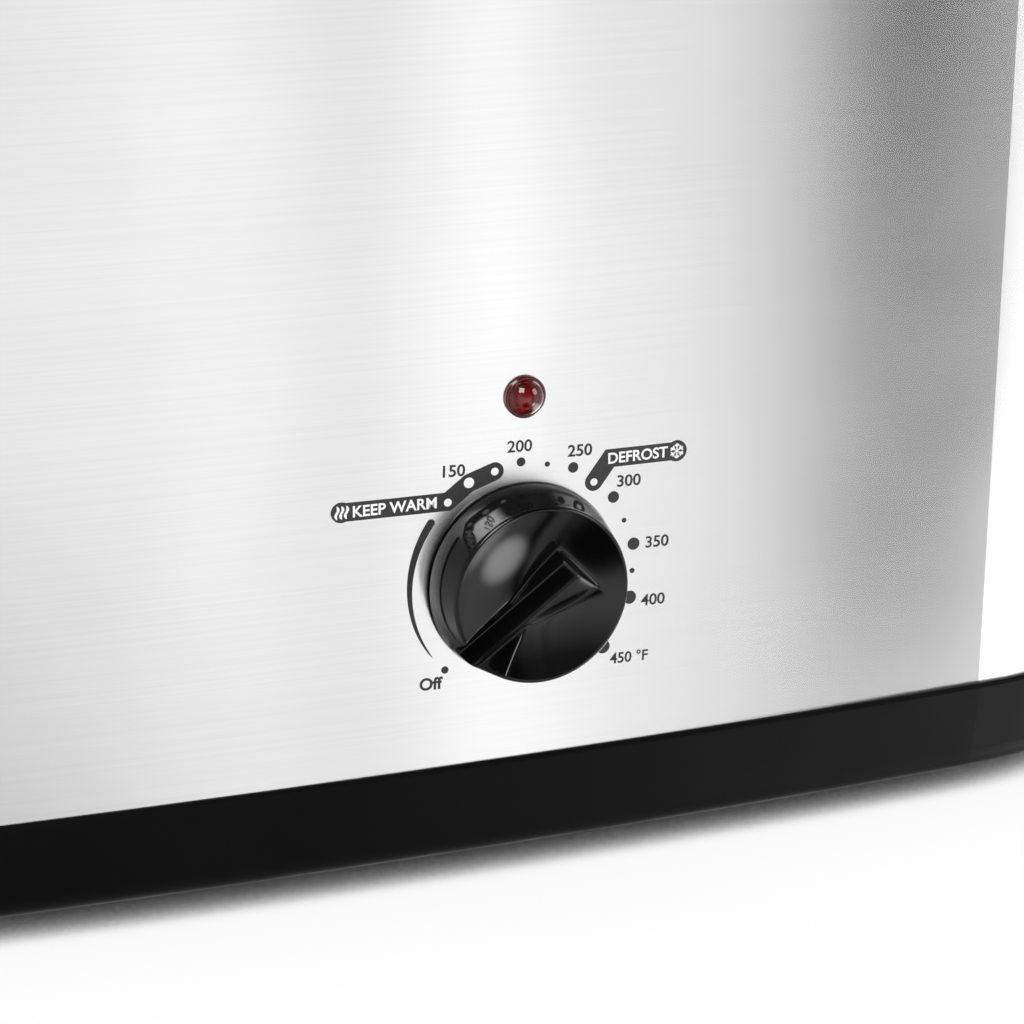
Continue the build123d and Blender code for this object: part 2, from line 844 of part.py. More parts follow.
with BuildPart() as lamp_clip:
    turn(
        lamp,
        (bezel_neck + fit, -shell_sheet - fit),
        (lamp_clip_radius, -shell_sheet - fit),
        (lamp_clip_radius, -shell_sheet - fit - lamp_clip_sheet),
        (bezel_neck + fit, -shell_sheet - fit - lamp_clip_sheet),
    )
write(lamp_clip, "lamp_clip")

# Cord inlet: a bushing through the rear of the shell, its nut, and the terminal block behind it
with BuildPart() as cord_bushing:
    turn(
        inlet,
        (inlet_bore, inlet_flange_height - inlet_length),
        (inlet_neck, inlet_flange_height - inlet_length),
        (inlet_neck, fit),
        (inlet_flange, fit),
        (inlet_flange, inlet_flange_height - 1),
        (inlet_flange - 1, inlet_flange_height),
        (inlet_bore, inlet_flange_height),
    )
write(cord_bushing, "cord_bushing")

with BuildPart() as bushing_nut:
    with BuildSketch(inlet.offset(-shell_sheet - 3 * fit)):
        RegularPolygon(inlet_flange, 6)
        Circle(inlet_neck + fit, mode=Mode.SUBTRACT)
    extrude(amount=-nut_height)
write(bushing_nut, "bushing_nut")

with BuildPart() as terminal_block:
    block_y = rear_y - block_inset
    with Locations((inlet_x, block_y, shield_bottom + shield_sheet)):
        Box(block_length, block_width, block_height, align=(Align.CENTER, Align.CENTER, Align.MIN))
    with BuildSketch(Plane.XY.offset(shield_bottom + shield_sheet + block_height)):
        with Locations((inlet_x, block_y)):
            with GridLocations(block_length / 3, block_width / 2, 3, 2):
                Circle(block_width / 6)
    extrude(amount=-block_height / 2, mode=Mode.SUBTRACT)
write(terminal_block, "terminal_block")

# Side handles: black moulded bails, screwed on from inside the shell
for name, side in sides.items():
    with BuildPart() as side_handle:
        with BuildSketch(Plane.XY.offset(handle_middle - handle_height / 2)):
            with Locations((side * body_length / 2, centre_y)):
                RectangleRounded(2 * handle_reach, handle_width, handle_reach * 0.6)
                RectangleRounded(
                    2 * (handle_reach - handle_bar),
                    handle_width - 2 * handle_leg,
                    (handle_reach - handle_bar) * 0.5,
                    mode=Mode.SUBTRACT,
                )
        extrude(amount=handle_height)
        outer_edges = side_handle.edges().filter_by(Plane.XY)
        fillet(outer_edges, grip_round)
        fill_oval(fit, handle_middle - handle_height, 2 * handle_height, mode=Mode.SUBTRACT)
        for screw in handle_planes[name]:
            drill(screw, screw_radius + fit, -2, screw_length)
    write(side_handle, f"side_handle_{name}")


def turn_screw(plane, length):
    """A pan-head screw from inside the shell: head on the inner face, shank pointing outwards."""
    head = -shell_sheet - fit
    turn(
        plane,
        (0, head - screw_head_height),
        (screw_head_radius - 1, head - screw_head_height),
        (screw_head_radius, head - screw_head_height / 2),
        (screw_head_radius, head),
        (screw_radius, head),
        (screw_radius, length),
        (0, length),
    )


for name, side in sides.items():
    with BuildPart() as handle_screws:
        for screw in handle_planes[name]:
            turn_screw(screw, screw_length - play)
    write(handle_screws, f"handle_screws_{name}")

# Hinge brackets: a plate, two cheeks with slots open at the top so that the lid lifts off, and between
# the cheeks a bridge that stops the arm's horn when the lid stands open
cheek_inside = arm_width / 2 + play
bracket_width_x = 2 * (cheek_inside + cheek)
slot_half = pin_radius + turning
past_upright = radians(lid_open - 90)
bridge_inside = hinge_reach + knuckle_radius + play
bridge_wall = cradle_radius - knuckle_radius - play
horn_fall = horn_width / 2 / cos(past_upright) + cradle_radius * tan(past_upright)
bridge_top = hinge_height - horn_fall - play
for name, side in sides.items():
    side_plane = hinge_side(side)
    with BuildPart() as hinge_bracket:
        with BuildSketch(side_plane):
            with BuildLine():
                Polyline(
                    (-cradle_radius, plate_low),
                    (plate_thickness, plate_low),
                    (plate_thickness, plate_top),
                    (-cradle_radius, plate_top),
                    close=True,
                )
            make_face()
        extrude(amount=bracket_width_x / 2, both=True)
        for end in (-1, 1):
            with BuildSketch(side_plane.offset(end * (cheek_inside + cheek / 2))):
                with BuildLine():
                    Polyline(
                        (-cradle_radius, plate_top - plate_height / 2),
                        (plate_thickness, plate_top - plate_height / 2),
                        (hinge_reach + cradle_radius, hinge_height - cradle_radius),
                        (hinge_reach + cradle_radius, hinge_height + cradle_top),
                        (hinge_reach - cradle_radius, hinge_height + cradle_top),
                        (fit, plate_top),
                        (-cradle_radius, plate_top),
                        close=True,
                    )
                make_face()
                with Locations((hinge_reach, hinge_height)):
                    Circle(slot_half, mode=Mode.SUBTRACT)
                with Locations((hinge_reach, hinge_height + cradle_radius / 2)):
                    Rectangle(2 * slot_half, cradle_radius + play, mode=Mode.SUBTRACT)
            extrude(amount=cheek / 2, both=True)
        with BuildSketch(side_plane):
            with Locations((bridge_inside, bridge_top)):
                Rectangle(bridge_wall, cradle_radius, align=(Align.MIN, Align.MAX))
        extrude(amount=bracket_width_x / 2, both=True)
        fill_oval(fit, plate_low - 1, 2 * plate_height, mode=Mode.SUBTRACT)
        for screw in hinge_planes[name]:
            drill(screw, screw_radius + fit, -2, plate_thickness + 2)
    write(hinge_bracket, f"hinge_bracket_{name}")
    with BuildPart() as hinge_screws:
        for screw in hinge_planes[name]:
            turn_screw(screw, plate_thickness)
    write(hinge_screws, f"hinge_screws_{name}")

# Pan: enamelled steel, hung in the well by a rim with a raised lip
with BuildPart() as roasting_pan:
    foot = pan_face(pan_floor)
    lip_outside = -pan_rim_inset + pan_lip_width
    carry_round(
        (lip_outside, pan_rim),
        (-pan_gap, pan_rim),
        (foot, pan_floor),
        (foot - 2 * pan_curve, pan_floor),
        (foot - 2 * pan_curve, pan_floor + pan_wall),
        (foot - pan_wall, pan_floor + pan_wall),
        (-pan_gap - pan_wall, pan_seat),
        (-pan_rim_inset, pan_seat),
        (-pan_rim_inset, pan_seat + pan_lip_height),
        (lip_outside, pan_seat + pan_lip_height),
        rounds=(
            ((-pan_gap, pan_rim), 2.0),
            ((-pan_gap - pan_wall, pan_seat), 2.0 + pan_wall),
            ((foot, pan_floor), pan_curve),
            ((foot - pan_wall, pan_floor + pan_wall), pan_curve - pan_wall),
            ((lip_outside, pan_seat + pan_lip_height), 1.0),
        ),
    )
    fill_oval(foot - 2 * pan_curve + 1, pan_floor, pan_wall)
write(roasting_pan, "roasting_pan")

# Rack: welded wire, an oval frame with rungs and runners, and four legs
rack_height = pan_floor + pan_wall + play + rack_leg
rack_line = pan_face(rack_height) - pan_wall - rack_inset - rack_wire
rack_half_length = body_length / 2 + rack_line
rack_half_depth = body_depth / 2 + rack_line
with BuildLine() as frame_line:
    draw_oval(rack_line)
ring = frame_line.line.moved(Location((0, 0, rack_height)))
ring_plane = Plane(origin=ring @ 0, z_dir=ring % 0)
with BuildPart() as roasting_rack:
    with BuildSketch(ring_plane):
        Circle(rack_wire)
    sweep(path=ring)
    rungs = int(2 * (rack_half_length - corner_radius / 2) / rung_pitch) // 2
    for step in range(-rungs, rungs + 1):
        x = step * rung_pitch
        reach = rack_half_depth - (side_bow - sqrt(side_bow**2 - x**2))
        with BuildSketch(Plane(origin=(x, centre_y - reach, rack_height), z_dir=(0, 1, 0))):
            Circle(rack_rung)
        extrude(amount=2 * reach)
    for side in (-1, 1):
        runner_y = centre_y + side * rack_half_depth / 2
        runner_z = rack_height - rack_rung - rack_wire + 1
        half_run = rack_half_length - corner_radius / 2
        with BuildSketch(Plane(origin=(-half_run, runner_y, runner_z), z_dir=(1, 0, 0))):
            Circle(rack_wire)
        extrude(amount=2 * half_run)
        for end in (-1, 1):
            leg_x = end * (half_run - rung_pitch)
            with BuildSketch(Plane.XY.offset(rack_height - rack_leg)):
                with Locations((leg_x, runner_y)):
                    Circle(rack_wire)
            extrude(amount=rack_leg - rack_rung)
write(roasting_rack, "roasting_rack")

# Rack loops: bent wire, leaning with the pan's wall, with feet that saddle the rack's frame
for name, side in sides.items():
    lean = radians(wall_draft)
    frame_bow = end_bow + rack_line
    loop_foot = rack_half_length - frame_bow + sqrt(frame_bow**2 - (loop_width / 2) ** 2)
    loop_plane = Plane(
        origin=(side * loop_foot, centre_y, rack_height),
        x_dir=(0, side, 0),
        z_dir=(cos(lean) * side, 0, -sin(lean)),
    )
    with BuildPart() as rack_loop:
        with BuildLine(loop_plane) as loop:
            FilletPolyline(
                (-loop_width / 2, 0),
                (-loop_width / 2, loop_height),
                (loop_width / 2, loop_height),
                (loop_width / 2, 0),
                radius=loop_corner,
            )
        with BuildSketch(Plane(origin=loop.line @ 0, z_dir=loop.line % 0)):
            Circle(rack_wire)
        sweep(path=loop.line)
        with BuildSketch(ring_plane):
            Circle(rack_wire + fit)
        sweep(path=ring, mode=Mode.SUBTRACT)
    write(rack_loop, f"rack_loop_{name}")


def dome_step(grow):
    """A step outwards from the dome's wall, in section."""
    return Vector(cos(radians(dome_lean)) * grow, sin(radians(dome_lean)) * grow)


def draw_dome(grow):
    """Draw the dome's line in section, from its foot to the flat crown, moved outwards by grow."""
    rise = 90 + dome_lean
    wall = PolarLine(Vector(-dome_foot, lid_rim) + dome_step(grow), dome_wall, rise)
    shoulder = JernArc(wall @ 1, wall % 1, dome_shoulder + grow, dome_shoulder_turn)
    last_turn = 180 - rise - dome_shoulder_turn
    return JernArc(shoulder @ 1, shoulder % 1, dome_crown + grow, last_turn) @ 1


# Lid: a domed sheet with a flat rim and a hemmed edge
with BuildPart() as lid_shell:
    with BuildSketch(section):
        with BuildLine():
            outer_end = draw_dome(0)
            inner_end = draw_dome(-lid_sheet)
            Line(outer_end, inner_end)
            foot = Vector(-dome_foot, lid_rim)
            Line(foot, foot + dome_step(-lid_sheet))
        make_face()
    sweep(path=oval.line)
    carry_round(
        (-lid_rim_inset, lid_rim),
        (-dome_foot - lid_sheet, lid_rim),
        (-dome_foot - lid_sheet, lid_rim + lid_sheet),
        (-lid_rim_inset - lid_hem_width, lid_rim + lid_sheet),
        (-lid_rim_inset - lid_hem_width, lid_rim + lid_hem_height),
        (-lid_rim_inset, lid_rim + lid_hem_height),
    )
    crown_top = outer_end.Y
    fill_oval(outer_end.X + 0.5, crown_top - lid_sheet, lid_sheet)
    with BuildSketch(Plane.XY.offset(lid_rim - dome_foot)):
        with BuildLine():
            draw_oval()
        make_face()
    extrude(amount=dome_foot, mode=Mode.SUBTRACT)
    for screw in grip_planes:
        drill(screw, screw_radius + fit, -2, 2)
    for name in sides:
        for rivet in rivet_planes[name]:
            drill(rivet, rivet_radius + fit, -2, 2)
write(lid_shell, "lid_shell")


def carve_dome():
    """Cut away what lies inside the dome's wall, so that a piece's foot follows it."""
    with BuildSketch(section) as dome_section:
        with BuildLine():
            end = draw_dome(fit)
            Polyline(end, (end.X, lid_rim), Vector(-dome_foot, lid_rim) + dome_step(fit))
        make_face()
    sweep(dome_section.sketch, path=oval.line, mode=Mode.SUBTRACT)


# Lid handle: a black moulded bail on the front of the dome, screwed on from inside
with BuildPart() as lid_handle:
    with BuildSketch(Plane.XY.offset(lid_rim + lid_grip_rise)):
        with Locations((0, front_y + dome_foot)):
            RectangleRounded(lid_grip_width, 2 * lid_grip_reach, lid_grip_reach * 0.6)
            RectangleRounded(
                lid_grip_width - 2 * lid_grip_leg,
                2 * (lid_grip_reach - lid_grip_bar),
                (lid_grip_reach - lid_grip_bar) * 0.5,
                mode=Mode.SUBTRACT,
            )
    extrude(amount=lid_grip_height)
    fillet(lid_handle.edges().filter_by(Plane.XY), grip_round)
    carve_dome()
    fill_oval(-dome_foot - dome_wall / 2, lid_rim, 3 * lid_grip_height, mode=Mode.SUBTRACT)
    for screw in grip_planes:
        drill(screw, screw_radius + fit, -2, lid_screw_length)
write(lid_handle, "lid_handle")

with BuildPart() as lid_handle_screws:
    for screw in grip_planes:
        turn_screw(screw, lid_screw_length - play)
write(lid_handle_screws, "lid_handle_screws")

# Hinge arms: a knuckle on the pin, a horn that meets the bracket's bridge, and a leaf on the dome's wall
arm_low = lid_rim + arm_rise
leaf_line = Vector(-sin(radians(dome_lean)), cos(radians(dome_lean)))
leaf_foot = Vector(-dome_foot, lid_rim) + dome_step(fit + arm_leaf)
leaf_top = leaf_foot + leaf_line * arm_leaf_height
leaf_low = leaf_foot + leaf_line * (arm_rise + arm_thickness)
for name, side in sides.items():
    side_plane = hinge_side(side)
    with BuildPart() as lid_arm:
        with BuildSketch(side_plane):
            with BuildLine():
                Polyline(
                    (-2 * dome_foot, arm_low),
                    (hinge_reach, arm_low),
                    (hinge_reach, arm_low + arm_thickness),
                    (leaf_low.X, arm_low + arm_thickness),
                    (leaf_top.X, leaf_top.Y),
                    (-2 * dome_foot, leaf_top.Y),
                    close=True,
                )
            make_face()
            with Locations((hinge_reach, hinge_height)):
                Circle(knuckle_radius)
                Rectangle(horn_width, horn_length, align=(Align.CENTER, Align.MIN))
                Circle(pin_radius + fit / 2, mode=Mode.SUBTRACT)
        extrude(amount=arm_width / 2, both=True)
        carve_dome()
        for rivet in rivet_planes[name]:
            drill(rivet, rivet_radius + fit, -2, 2 * arm_leaf)
    write(lid_arm, f"lid_arm_{name}")
    with BuildPart() as hinge_pin:
        with BuildSketch(side_plane):
            with Locations((hinge_reach, hinge_height)):
                Circle(pin_radius)
        extrude(amount=bracket_width_x / 2, both=True)
    write(hinge_pin, f"hinge_pin_{name}")
    with BuildPart() as lid_rivets:
        for rivet in rivet_planes[name]:
            inside = -lid_sheet - fit
            outside = arm_leaf + 2 * fit
            turn(
                rivet,
                (0, inside - rivet_head_height),
                (rivet_head_radius - 1, inside - rivet_head_height),
                (rivet_head_radius, inside),
                (rivet_radius, inside),
                (rivet_radius, outside),
                (rivet_head_radius, outside),
                (rivet_head_radius - 1, outside + rivet_head_height),
                (0, outside + rivet_head_height),
            )
    write(lid_rivets, f"lid_rivets_{name}")
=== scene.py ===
import json
from math import cos, pi, radians, sin

import bmesh
import bpy
import numpy as np
from mathutils import Matrix, Vector


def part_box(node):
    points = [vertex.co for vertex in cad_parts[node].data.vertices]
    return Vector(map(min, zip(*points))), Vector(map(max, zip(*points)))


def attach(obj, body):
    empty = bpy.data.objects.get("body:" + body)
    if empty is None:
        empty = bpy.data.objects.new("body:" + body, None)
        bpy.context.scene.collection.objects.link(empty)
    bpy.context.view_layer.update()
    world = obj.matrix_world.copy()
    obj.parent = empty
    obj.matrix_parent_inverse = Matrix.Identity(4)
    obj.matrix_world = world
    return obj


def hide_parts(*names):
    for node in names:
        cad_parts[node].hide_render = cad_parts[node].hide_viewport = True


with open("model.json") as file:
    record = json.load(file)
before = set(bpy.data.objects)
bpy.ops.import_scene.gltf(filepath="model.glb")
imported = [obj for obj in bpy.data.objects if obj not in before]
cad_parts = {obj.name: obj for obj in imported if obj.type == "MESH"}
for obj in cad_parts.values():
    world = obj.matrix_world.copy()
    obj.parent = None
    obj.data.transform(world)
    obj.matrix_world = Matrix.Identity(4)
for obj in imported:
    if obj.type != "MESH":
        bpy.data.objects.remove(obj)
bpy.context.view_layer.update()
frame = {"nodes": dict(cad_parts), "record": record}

scene = bpy.context.scene

# Lengths are in millimetres until a mesh is placed. The frame is the CAD's: +Z up, front towards -Y.
MM = 0.001
FRONT_BOW = 2600.0  # radius of the front face, seen from above
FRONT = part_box("outer_shell")[0].y / MM
BASE_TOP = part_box("base_skirt")[1].z / MM
DIAL_RISE = 47.4  # from the base's top edge to the knob's axis
DIAL = Vector((0.0, FRONT, BASE_TOP + DIAL_RISE))


# ---------------------------------------------------------------------------
# Meshes
# ---------------------------------------------------------------------------


def new_object(name, data):
    """An object that shows some data in the scene."""
    thing = bpy.data.objects.new(name, data)
    scene.collection.objects.link(thing)
    return thing


def mesh_piece(name, points, faces, crisp):
    """A mesh object of points in millimetres; edges that turn by more than crisp degrees stay crisp."""
    mesh = bpy.data.meshes.new(name)
    mesh.from_pydata((np.asarray(points, float) * MM).tolist(), [], faces)
    work = bmesh.new()
    work.from_mesh(mesh)
    bmesh.ops.remove_doubles(work, verts=work.verts, dist=1e-6)
    bmesh.ops.dissolve_degenerate(work, edges=work.edges, dist=1e-7)
    bmesh.ops.recalc_face_normals(work, faces=work.faces)
    work.to_mesh(mesh)
    work.free()
    mesh.shade_smooth()
    mesh.set_sharp_from_angle(angle=radians(crisp))
    return new_object(name, mesh)


def coordinates(mesh):
    """A mesh's points as an array with one row each."""
    points = np.zeros(len(mesh.vertices) * 3)
    mesh.vertices.foreach_get("co", points)
    return points.reshape(-1, 3)


def grid_faces(rows, columns, start=0, closed=False):
    """The quads of a grid of points that is stored row by row; closed joins the two ends of each row."""
    index = start + np.arange(rows * columns).reshape(rows, columns)
    if closed:
        index = np.hstack((index, index[:, :1]))
    corners = (index[:-1, :-1], index[:-1, 1:], index[1:, 1:], index[1:, :-1])
    return np.stack(corners, -1).reshape(-1, 4).tolist()


def lower_of(a, b, blend):
    """The lower of two heights, rounded where they cross: half of a + b - sqrt((a - b)^2 + blend^2)."""
    return (a + b - np.sqrt((a - b) ** 2 + blend**2)) / 2


def higher_of(a, b, blend):
    """The higher of two heights, rounded where they cross."""
    return -lower_of(-a, -b, blend)


# ---------------------------------------------------------------------------
# Shader nodes
# ---------------------------------------------------------------------------


class Nodes:
    """A node tree that is filled from top to bottom, with each node's constants set on its own sockets."""

    def __init__(self, tree):
        self.tree = tree

    def add(self, kind, settings=None, **sockets):
        """Add a node. A socket is given by its label, or by i and its number, and takes a value or a link."""
        node = self.tree.nodes.new(kind)
        for name, value in (settings or {}).items():
            setattr(node, name, value)
        for name, value in sockets.items():
            by_number = name[0] == "i" and name[1:].isdigit()
            socket = node.inputs[int(name[1:]) if by_number else name]
            if isinstance(value, bpy.types.NodeSocket):
                self.tree.links.new(value, socket)
            else:
                socket.default_value = value
        return node

    def link(self, source, target):
        self.tree.links.new(source, target)


def new_tree(owner):
    """The empty shader tree of a material or a world."""
    owner.use_nodes = True
    owner.node_tree.nodes.clear()
    return Nodes(owner.node_tree)


def combine(nodes, operation, first, second, **settings):
    """One number out of two, such as by ADD or MULTIPLY."""
    return nodes.add("ShaderNodeMath", {"operation": operation, **settings}, i0=first, i1=second).outputs[0]


def remap(nodes, source, low, high, to_low=0.0, to_high=1.0, **settings):
    """Carry a range of values over to another range."""
    return nodes.add("ShaderNodeMapRange", settings, i0=source, i1=low, i2=high, i3=to_low, i4=to_high).outputs[0]


def mix_colours(nodes, kind, first, second, factor=1.0):
    """Two colours mixed, multiplied or added."""
    settings = {"data_type": "RGBA", "blend_type": kind}
    return nodes.add("ShaderNodeMix", settings, Factor=factor, i6=first, i7=second).outputs[2]


def noise(nodes, place, scale, detail, roughness):
    """A noise pattern from 0 to 1."""
    return nodes.add("ShaderNodeTexNoise", i0=place, Scale=scale, Detail=detail, Roughness=roughness).outputs[0]


def new_group(name, inputs, outputs):
    """A shader node group with named number inputs and named outputs, and the object's own coordinates."""
    group = bpy.data.node_groups.new(name, "ShaderNodeTree")
    for label, value in inputs.items():
        socket = group.interface.new_socket(name=label, in_out="INPUT", socket_type="NodeSocketFloat")
        socket.default_value = value
    for label in outputs:
        group.interface.new_socket(name=label, in_out="OUTPUT", socket_type="NodeSocketFloat")
    nodes = Nodes(group)
    given, out = nodes.add("NodeGroupInput").outputs, nodes.add("NodeGroupOutput").inputs
    return group, nodes, given, out, nodes.add("ShaderNodeTexCoord").outputs["Object"]


def make_brushed_grain():
    """Fine level scratches, as noise that changes far faster with height than along the sheet, and broad clouds."""
    inputs = {"Level": 9.0, "Upright": 1900.0}
    group, nodes, given, out, place = new_group("brushed_grain", inputs, ("Scratch", "Cloud"))
    fine = nodes.add("ShaderNodeCombineXYZ", X=given["Level"], Y=given["Level"], Z=given["Upright"])
    stretch = nodes.add("ShaderNodeVectorMath", {"operation": "MULTIPLY"}, i0=place, i1=fine.outputs[0])
    nodes.link(noise(nodes, stretch.outputs[0], 1.0, 3.0, 0.65), out["Scratch"])
    nodes.link(noise(nodes, place, 14.0, 2.0, 0.5), out["Cloud"])
    return group


def make_moulded_skin():
    """Moulded plastic: a broad, faint waviness and a fine grain."""
    inputs = {"Grain": 1800.0, "Wave": 40.0}
    group, nodes, given, out, place = new_group("moulded_skin", inputs, ("Grain", "Wave"))
    nodes.link(noise(nodes, place, given["Grain"], 2.0, 0.55), out["Grain"])
    nodes.link(noise(nodes, place, given["Wave"], 1.0, 0.4), out["Wave"])
    return group


def make_edge_wear():
    """Where edges are rubbed: pointedness above a mean, broken up by noise."""
    inputs = {"Start": 0.52, "Width": 0.08, "Breakup": 350.0}
    group, nodes, given, out, place = new_group("edge_wear", inputs, ("Wear",))
    shape = nodes.add("ShaderNodeNewGeometry")
    end = combine(nodes, "ADD", given["Start"], given["Width"])
    edge = remap(nodes, shape.outputs["Pointiness"], given["Start"], end)
    nodes.link(combine(nodes, "MULTIPLY", edge, noise(nodes, place, given["Breakup"], 3.0, 0.5)), out["Wear"])
    return group


GROUPS = {
    "brushed_grain": make_brushed_grain(),
    "moulded_skin": make_moulded_skin(),
    "edge_wear": make_edge_wear(),
}


# ---------------------------------------------------------------------------
# Finishes
# ---------------------------------------------------------------------------

NOISE_LOW, NOISE_HIGH = 0.3, 0.7  # noise seldom leaves this range
CLOUDING = 0.07  # how much steel's roughness varies, as a share
WAVINESS = 0.12  # the same for moulded plastic


def new_material(name, **constants):
    """A material with one Principled shader whose constants are set on its own sockets."""
    material = bpy.data.materials.new(name)
    nodes = new_tree(material)
    shader = nodes.add("ShaderNodeBsdfPrincipled")
    for label, value in constants.items():
        shader.inputs[label.replace("_", " ")].default_value = value
    nodes.add("ShaderNodeOutputMaterial", Surface=shader.outputs[0])
    return material, nodes, shader


def effect(nodes, name, **values):
    """Place a shared effect in a material with this material's own values."""
    return nodes.add("ShaderNodeGroup", {"node_tree": GROUPS[name]}, **values).outputs


def spread(nodes, source, low, high):
    """Spread a noise pattern over a range of values."""
    return remap(nodes, source, NOISE_LOW, NOISE_HIGH, low, high)


def shade(nodes, factor, dark, light):
    """Mix two colours by a pattern."""
    return mix_colours(nodes, "MIX", (*dark, 1), (*light, 1), factor)


def raise_surface(nodes, shader, height, distance):
    """Let a pattern raise the surface by a small height in metres."""
    bump = nodes.add("ShaderNodeBump", Strength=1.0, Distance=distance, Height=height)
    nodes.link(bump.outputs[0], shader.inputs["Normal"])


def steel(name, dark, light, rough, anisotropy, grain=0.000004, level=9.0, upright=1900.0):
    """Brushed steel: level scratches in its tone, roughness and height, and highlights drawn out upright."""
    material, nodes, shader = new_material(name, Metallic=1.0, Anisotropic=anisotropy, Anisotropic_Rotation=0.25)
    brushed = effect(nodes, "brushed_grain", Level=level, Upright=upright)
    nodes.link(shade(nodes, spread(nodes, brushed["Scratch"], 0, 1), dark, light), shader.inputs["Base Color"])
    smooth, coarse = rough * (1 - CLOUDING), rough * (1 + CLOUDING)
    nodes.link(spread(nodes, brushed["Cloud"], smooth, coarse), shader.inputs["Roughness"])
    round_z = nodes.add("ShaderNodeTangent", {"direction_type": "RADIAL", "axis": "Z"})
    nodes.link(round_z.outputs[0], shader.inputs["Tangent"])
    raise_surface(nodes, shader, brushed["Scratch"], grain)
    return material


def moulding(name, dark, light, rough, grain, shine=0.5, coat=0.0):
    """Moulded plastic: a fine grain, a faint waviness and slightly rubbed edges."""
    material, nodes, shader = new_material(name, Specular_IOR_Level=shine, Coat_Weight=coat, Coat_Roughness=0.04)
    skin = effect(nodes, "moulded_skin")
    worn = effect(nodes, "edge_wear")["Wear"]
    nodes.link(shade(nodes, worn, dark, light), shader.inputs["Base Color"])
    smooth, coarse = rough * (1 - WAVINESS), rough * (1 + WAVINESS)
    nodes.link(spread(nodes, skin["Wave"], smooth, coarse), shader.inputs["Roughness"])
    raise_surface(nodes, shader, skin["Grain"], grain)
    return material


def even(name, dark, light, rough, scales, follows="Wave", **constants):
    """A flat finish: its tone follows a waviness, and its roughness the waviness or the grain of given scales."""
    material, nodes, shader = new_material(name, **constants)
    skin = effect(nodes, "moulded_skin", Grain=scales[0], Wave=scales[1])
    nodes.link(shade(nodes, skin["Wave"], dark, light), shader.inputs["Base Color"])
    nodes.link(spread(nodes, skin[follows], *rough), shader.inputs["Roughness"])
    return material


# By slot: how it is made, its darker and lighter tone and its roughness. Steels go on with how far highlights
# are drawn out, the scratches' height and their two scales; mouldings with the grain's height, shine and coat.
FINISHES = {
    "brushed_steel": (steel, (0.875, 0.875, 0.88), (0.905, 0.905, 0.91), 0.2, 0.93),
    "polished_steel": (steel, (0.80, 0.80, 0.805), (0.84, 0.84, 0.845), 0.2, 0.3, 0.000001),
    "black_moulding": (moulding, (0.0028, 0.0028, 0.003), (0.008, 0.008, 0.008), 0.40, 0.000006, 0.06),
    "gloss_black": (moulding, (0.002, 0.002, 0.0021), (0.004, 0.004, 0.004), 0.09, 0.0, 0.42),
    "rubber_feet": (moulding, (0.012, 0.012, 0.012), (0.03, 0.03, 0.03), 0.75, 0.00003, 0.3),
    "liner_steel": (steel, (0.42, 0.42, 0.42), (0.52, 0.52, 0.52), 0.45, 0.2, 0.000004, 60, 60),
    "heater_steel": (steel, (0.33, 0.30, 0.26), (0.50, 0.46, 0.42), 0.42, 0.2, 0.000004, 40, 300),
    "glass_wool": (moulding, (0.74, 0.71, 0.60), (0.85, 0.83, 0.75), 0.95, 0.0004, 0.2),
    "shield_aluminium": (steel, (0.70, 0.70, 0.71), (0.80, 0.80, 0.81), 0.32, 0.2, 0.000003, 30, 500),
    "zinc_steel": (steel, (0.50, 0.50, 0.52), (0.62, 0.62, 0.63), 0.28, 0.1, 0.000003, 200, 900),
    "thermostat_ceramic": (moulding, (0.74, 0.71, 0.64), (0.85, 0.82, 0.75), 0.6, 0.00004, 0.4),
    "bezel_black": (moulding, (0.060, 0.002, 0.003), (0.10, 0.004, 0.005), 0.16, 0.000002, 0.4, 0.5),
    "black_enamel": (moulding, (0.010, 0.010, 0.012), (0.03, 0.03, 0.035), 0.14, 0.00002, 0.5, 0.5),
    "chrome_wire": (steel, (0.72, 0.72, 0.73), (0.80, 0.80, 0.81), 0.1, 0.0, 0.000002, 120, 300),
}
finishes = {name: make(name, *values) for name, (make, *values) in FINISHES.items()}

# The lens is clear, so light passes through it and is tinted; the neon's glass has a warm cast from the gas
finishes["lamp_red"] = even(
    "lamp_red", (0.33, 0.003, 0.006), (0.45, 0.008, 0.012), (0.03, 0.06), (300.0, 120.0),
    Transmission_Weight=0.85, IOR=1.49, Coat_Weight=0.5, Coat_Roughness=0.02,
)
finishes["neon_glass"] = even(
    "neon_glass", (0.75, 0.45, 0.38), (0.9, 0.7, 0.6), (0.08, 0.14), (300.0, 500.0),
    Coat_Weight=0.6, Coat_Roughness=0.03,
)

# Printed ink is slightly matt and a little uneven
INK_SCALES = (5000.0, 900.0)
print_ink = even("print_ink", (0.018, 0.018, 0.019), (0.032, 0.032, 0.034), (0.5, 0.62), INK_SCALES, "Grain")
print_white = even("print_white", (0.80, 0.80, 0.80), (0.88, 0.88, 0.88), (0.45, 0.6), INK_SCALES, "Grain")

for part in frame["record"]["subparts"]:
    node = frame["nodes"][part["node"]]
    node.data.materials.clear()
    node.data.materials.append(finishes[part["material_slot"]])


# ---------------------------------------------------------------------------
# The knob
#
# Its face is a height over places along the grip, towards Off, and across it, towards its lower side.
# ---------------------------------------------------------------------------

OFF = radians(225)  # where Off is, anticlockwise from three o'clock
KNOB_SIDE = 25.0  # radius where the drum meets the panel
KNOB_BACK = 0.8  # gap behind the drum
SHOULDER, SHOULDER_RISE = 22.9, 12.4  # radius and height where the leaning side ends
SIDE_FALL = (SHOULDER_RISE - KNOB_BACK) / (KNOB_SIDE - SHOULDER)
RIM, RIM_RISE = 22.0, 13.6  # radius and height where the dish begins
DISH_DEPTH = 4.5
RIM_BLEND = 0.22  # each blend says how softly two surfaces run into each other

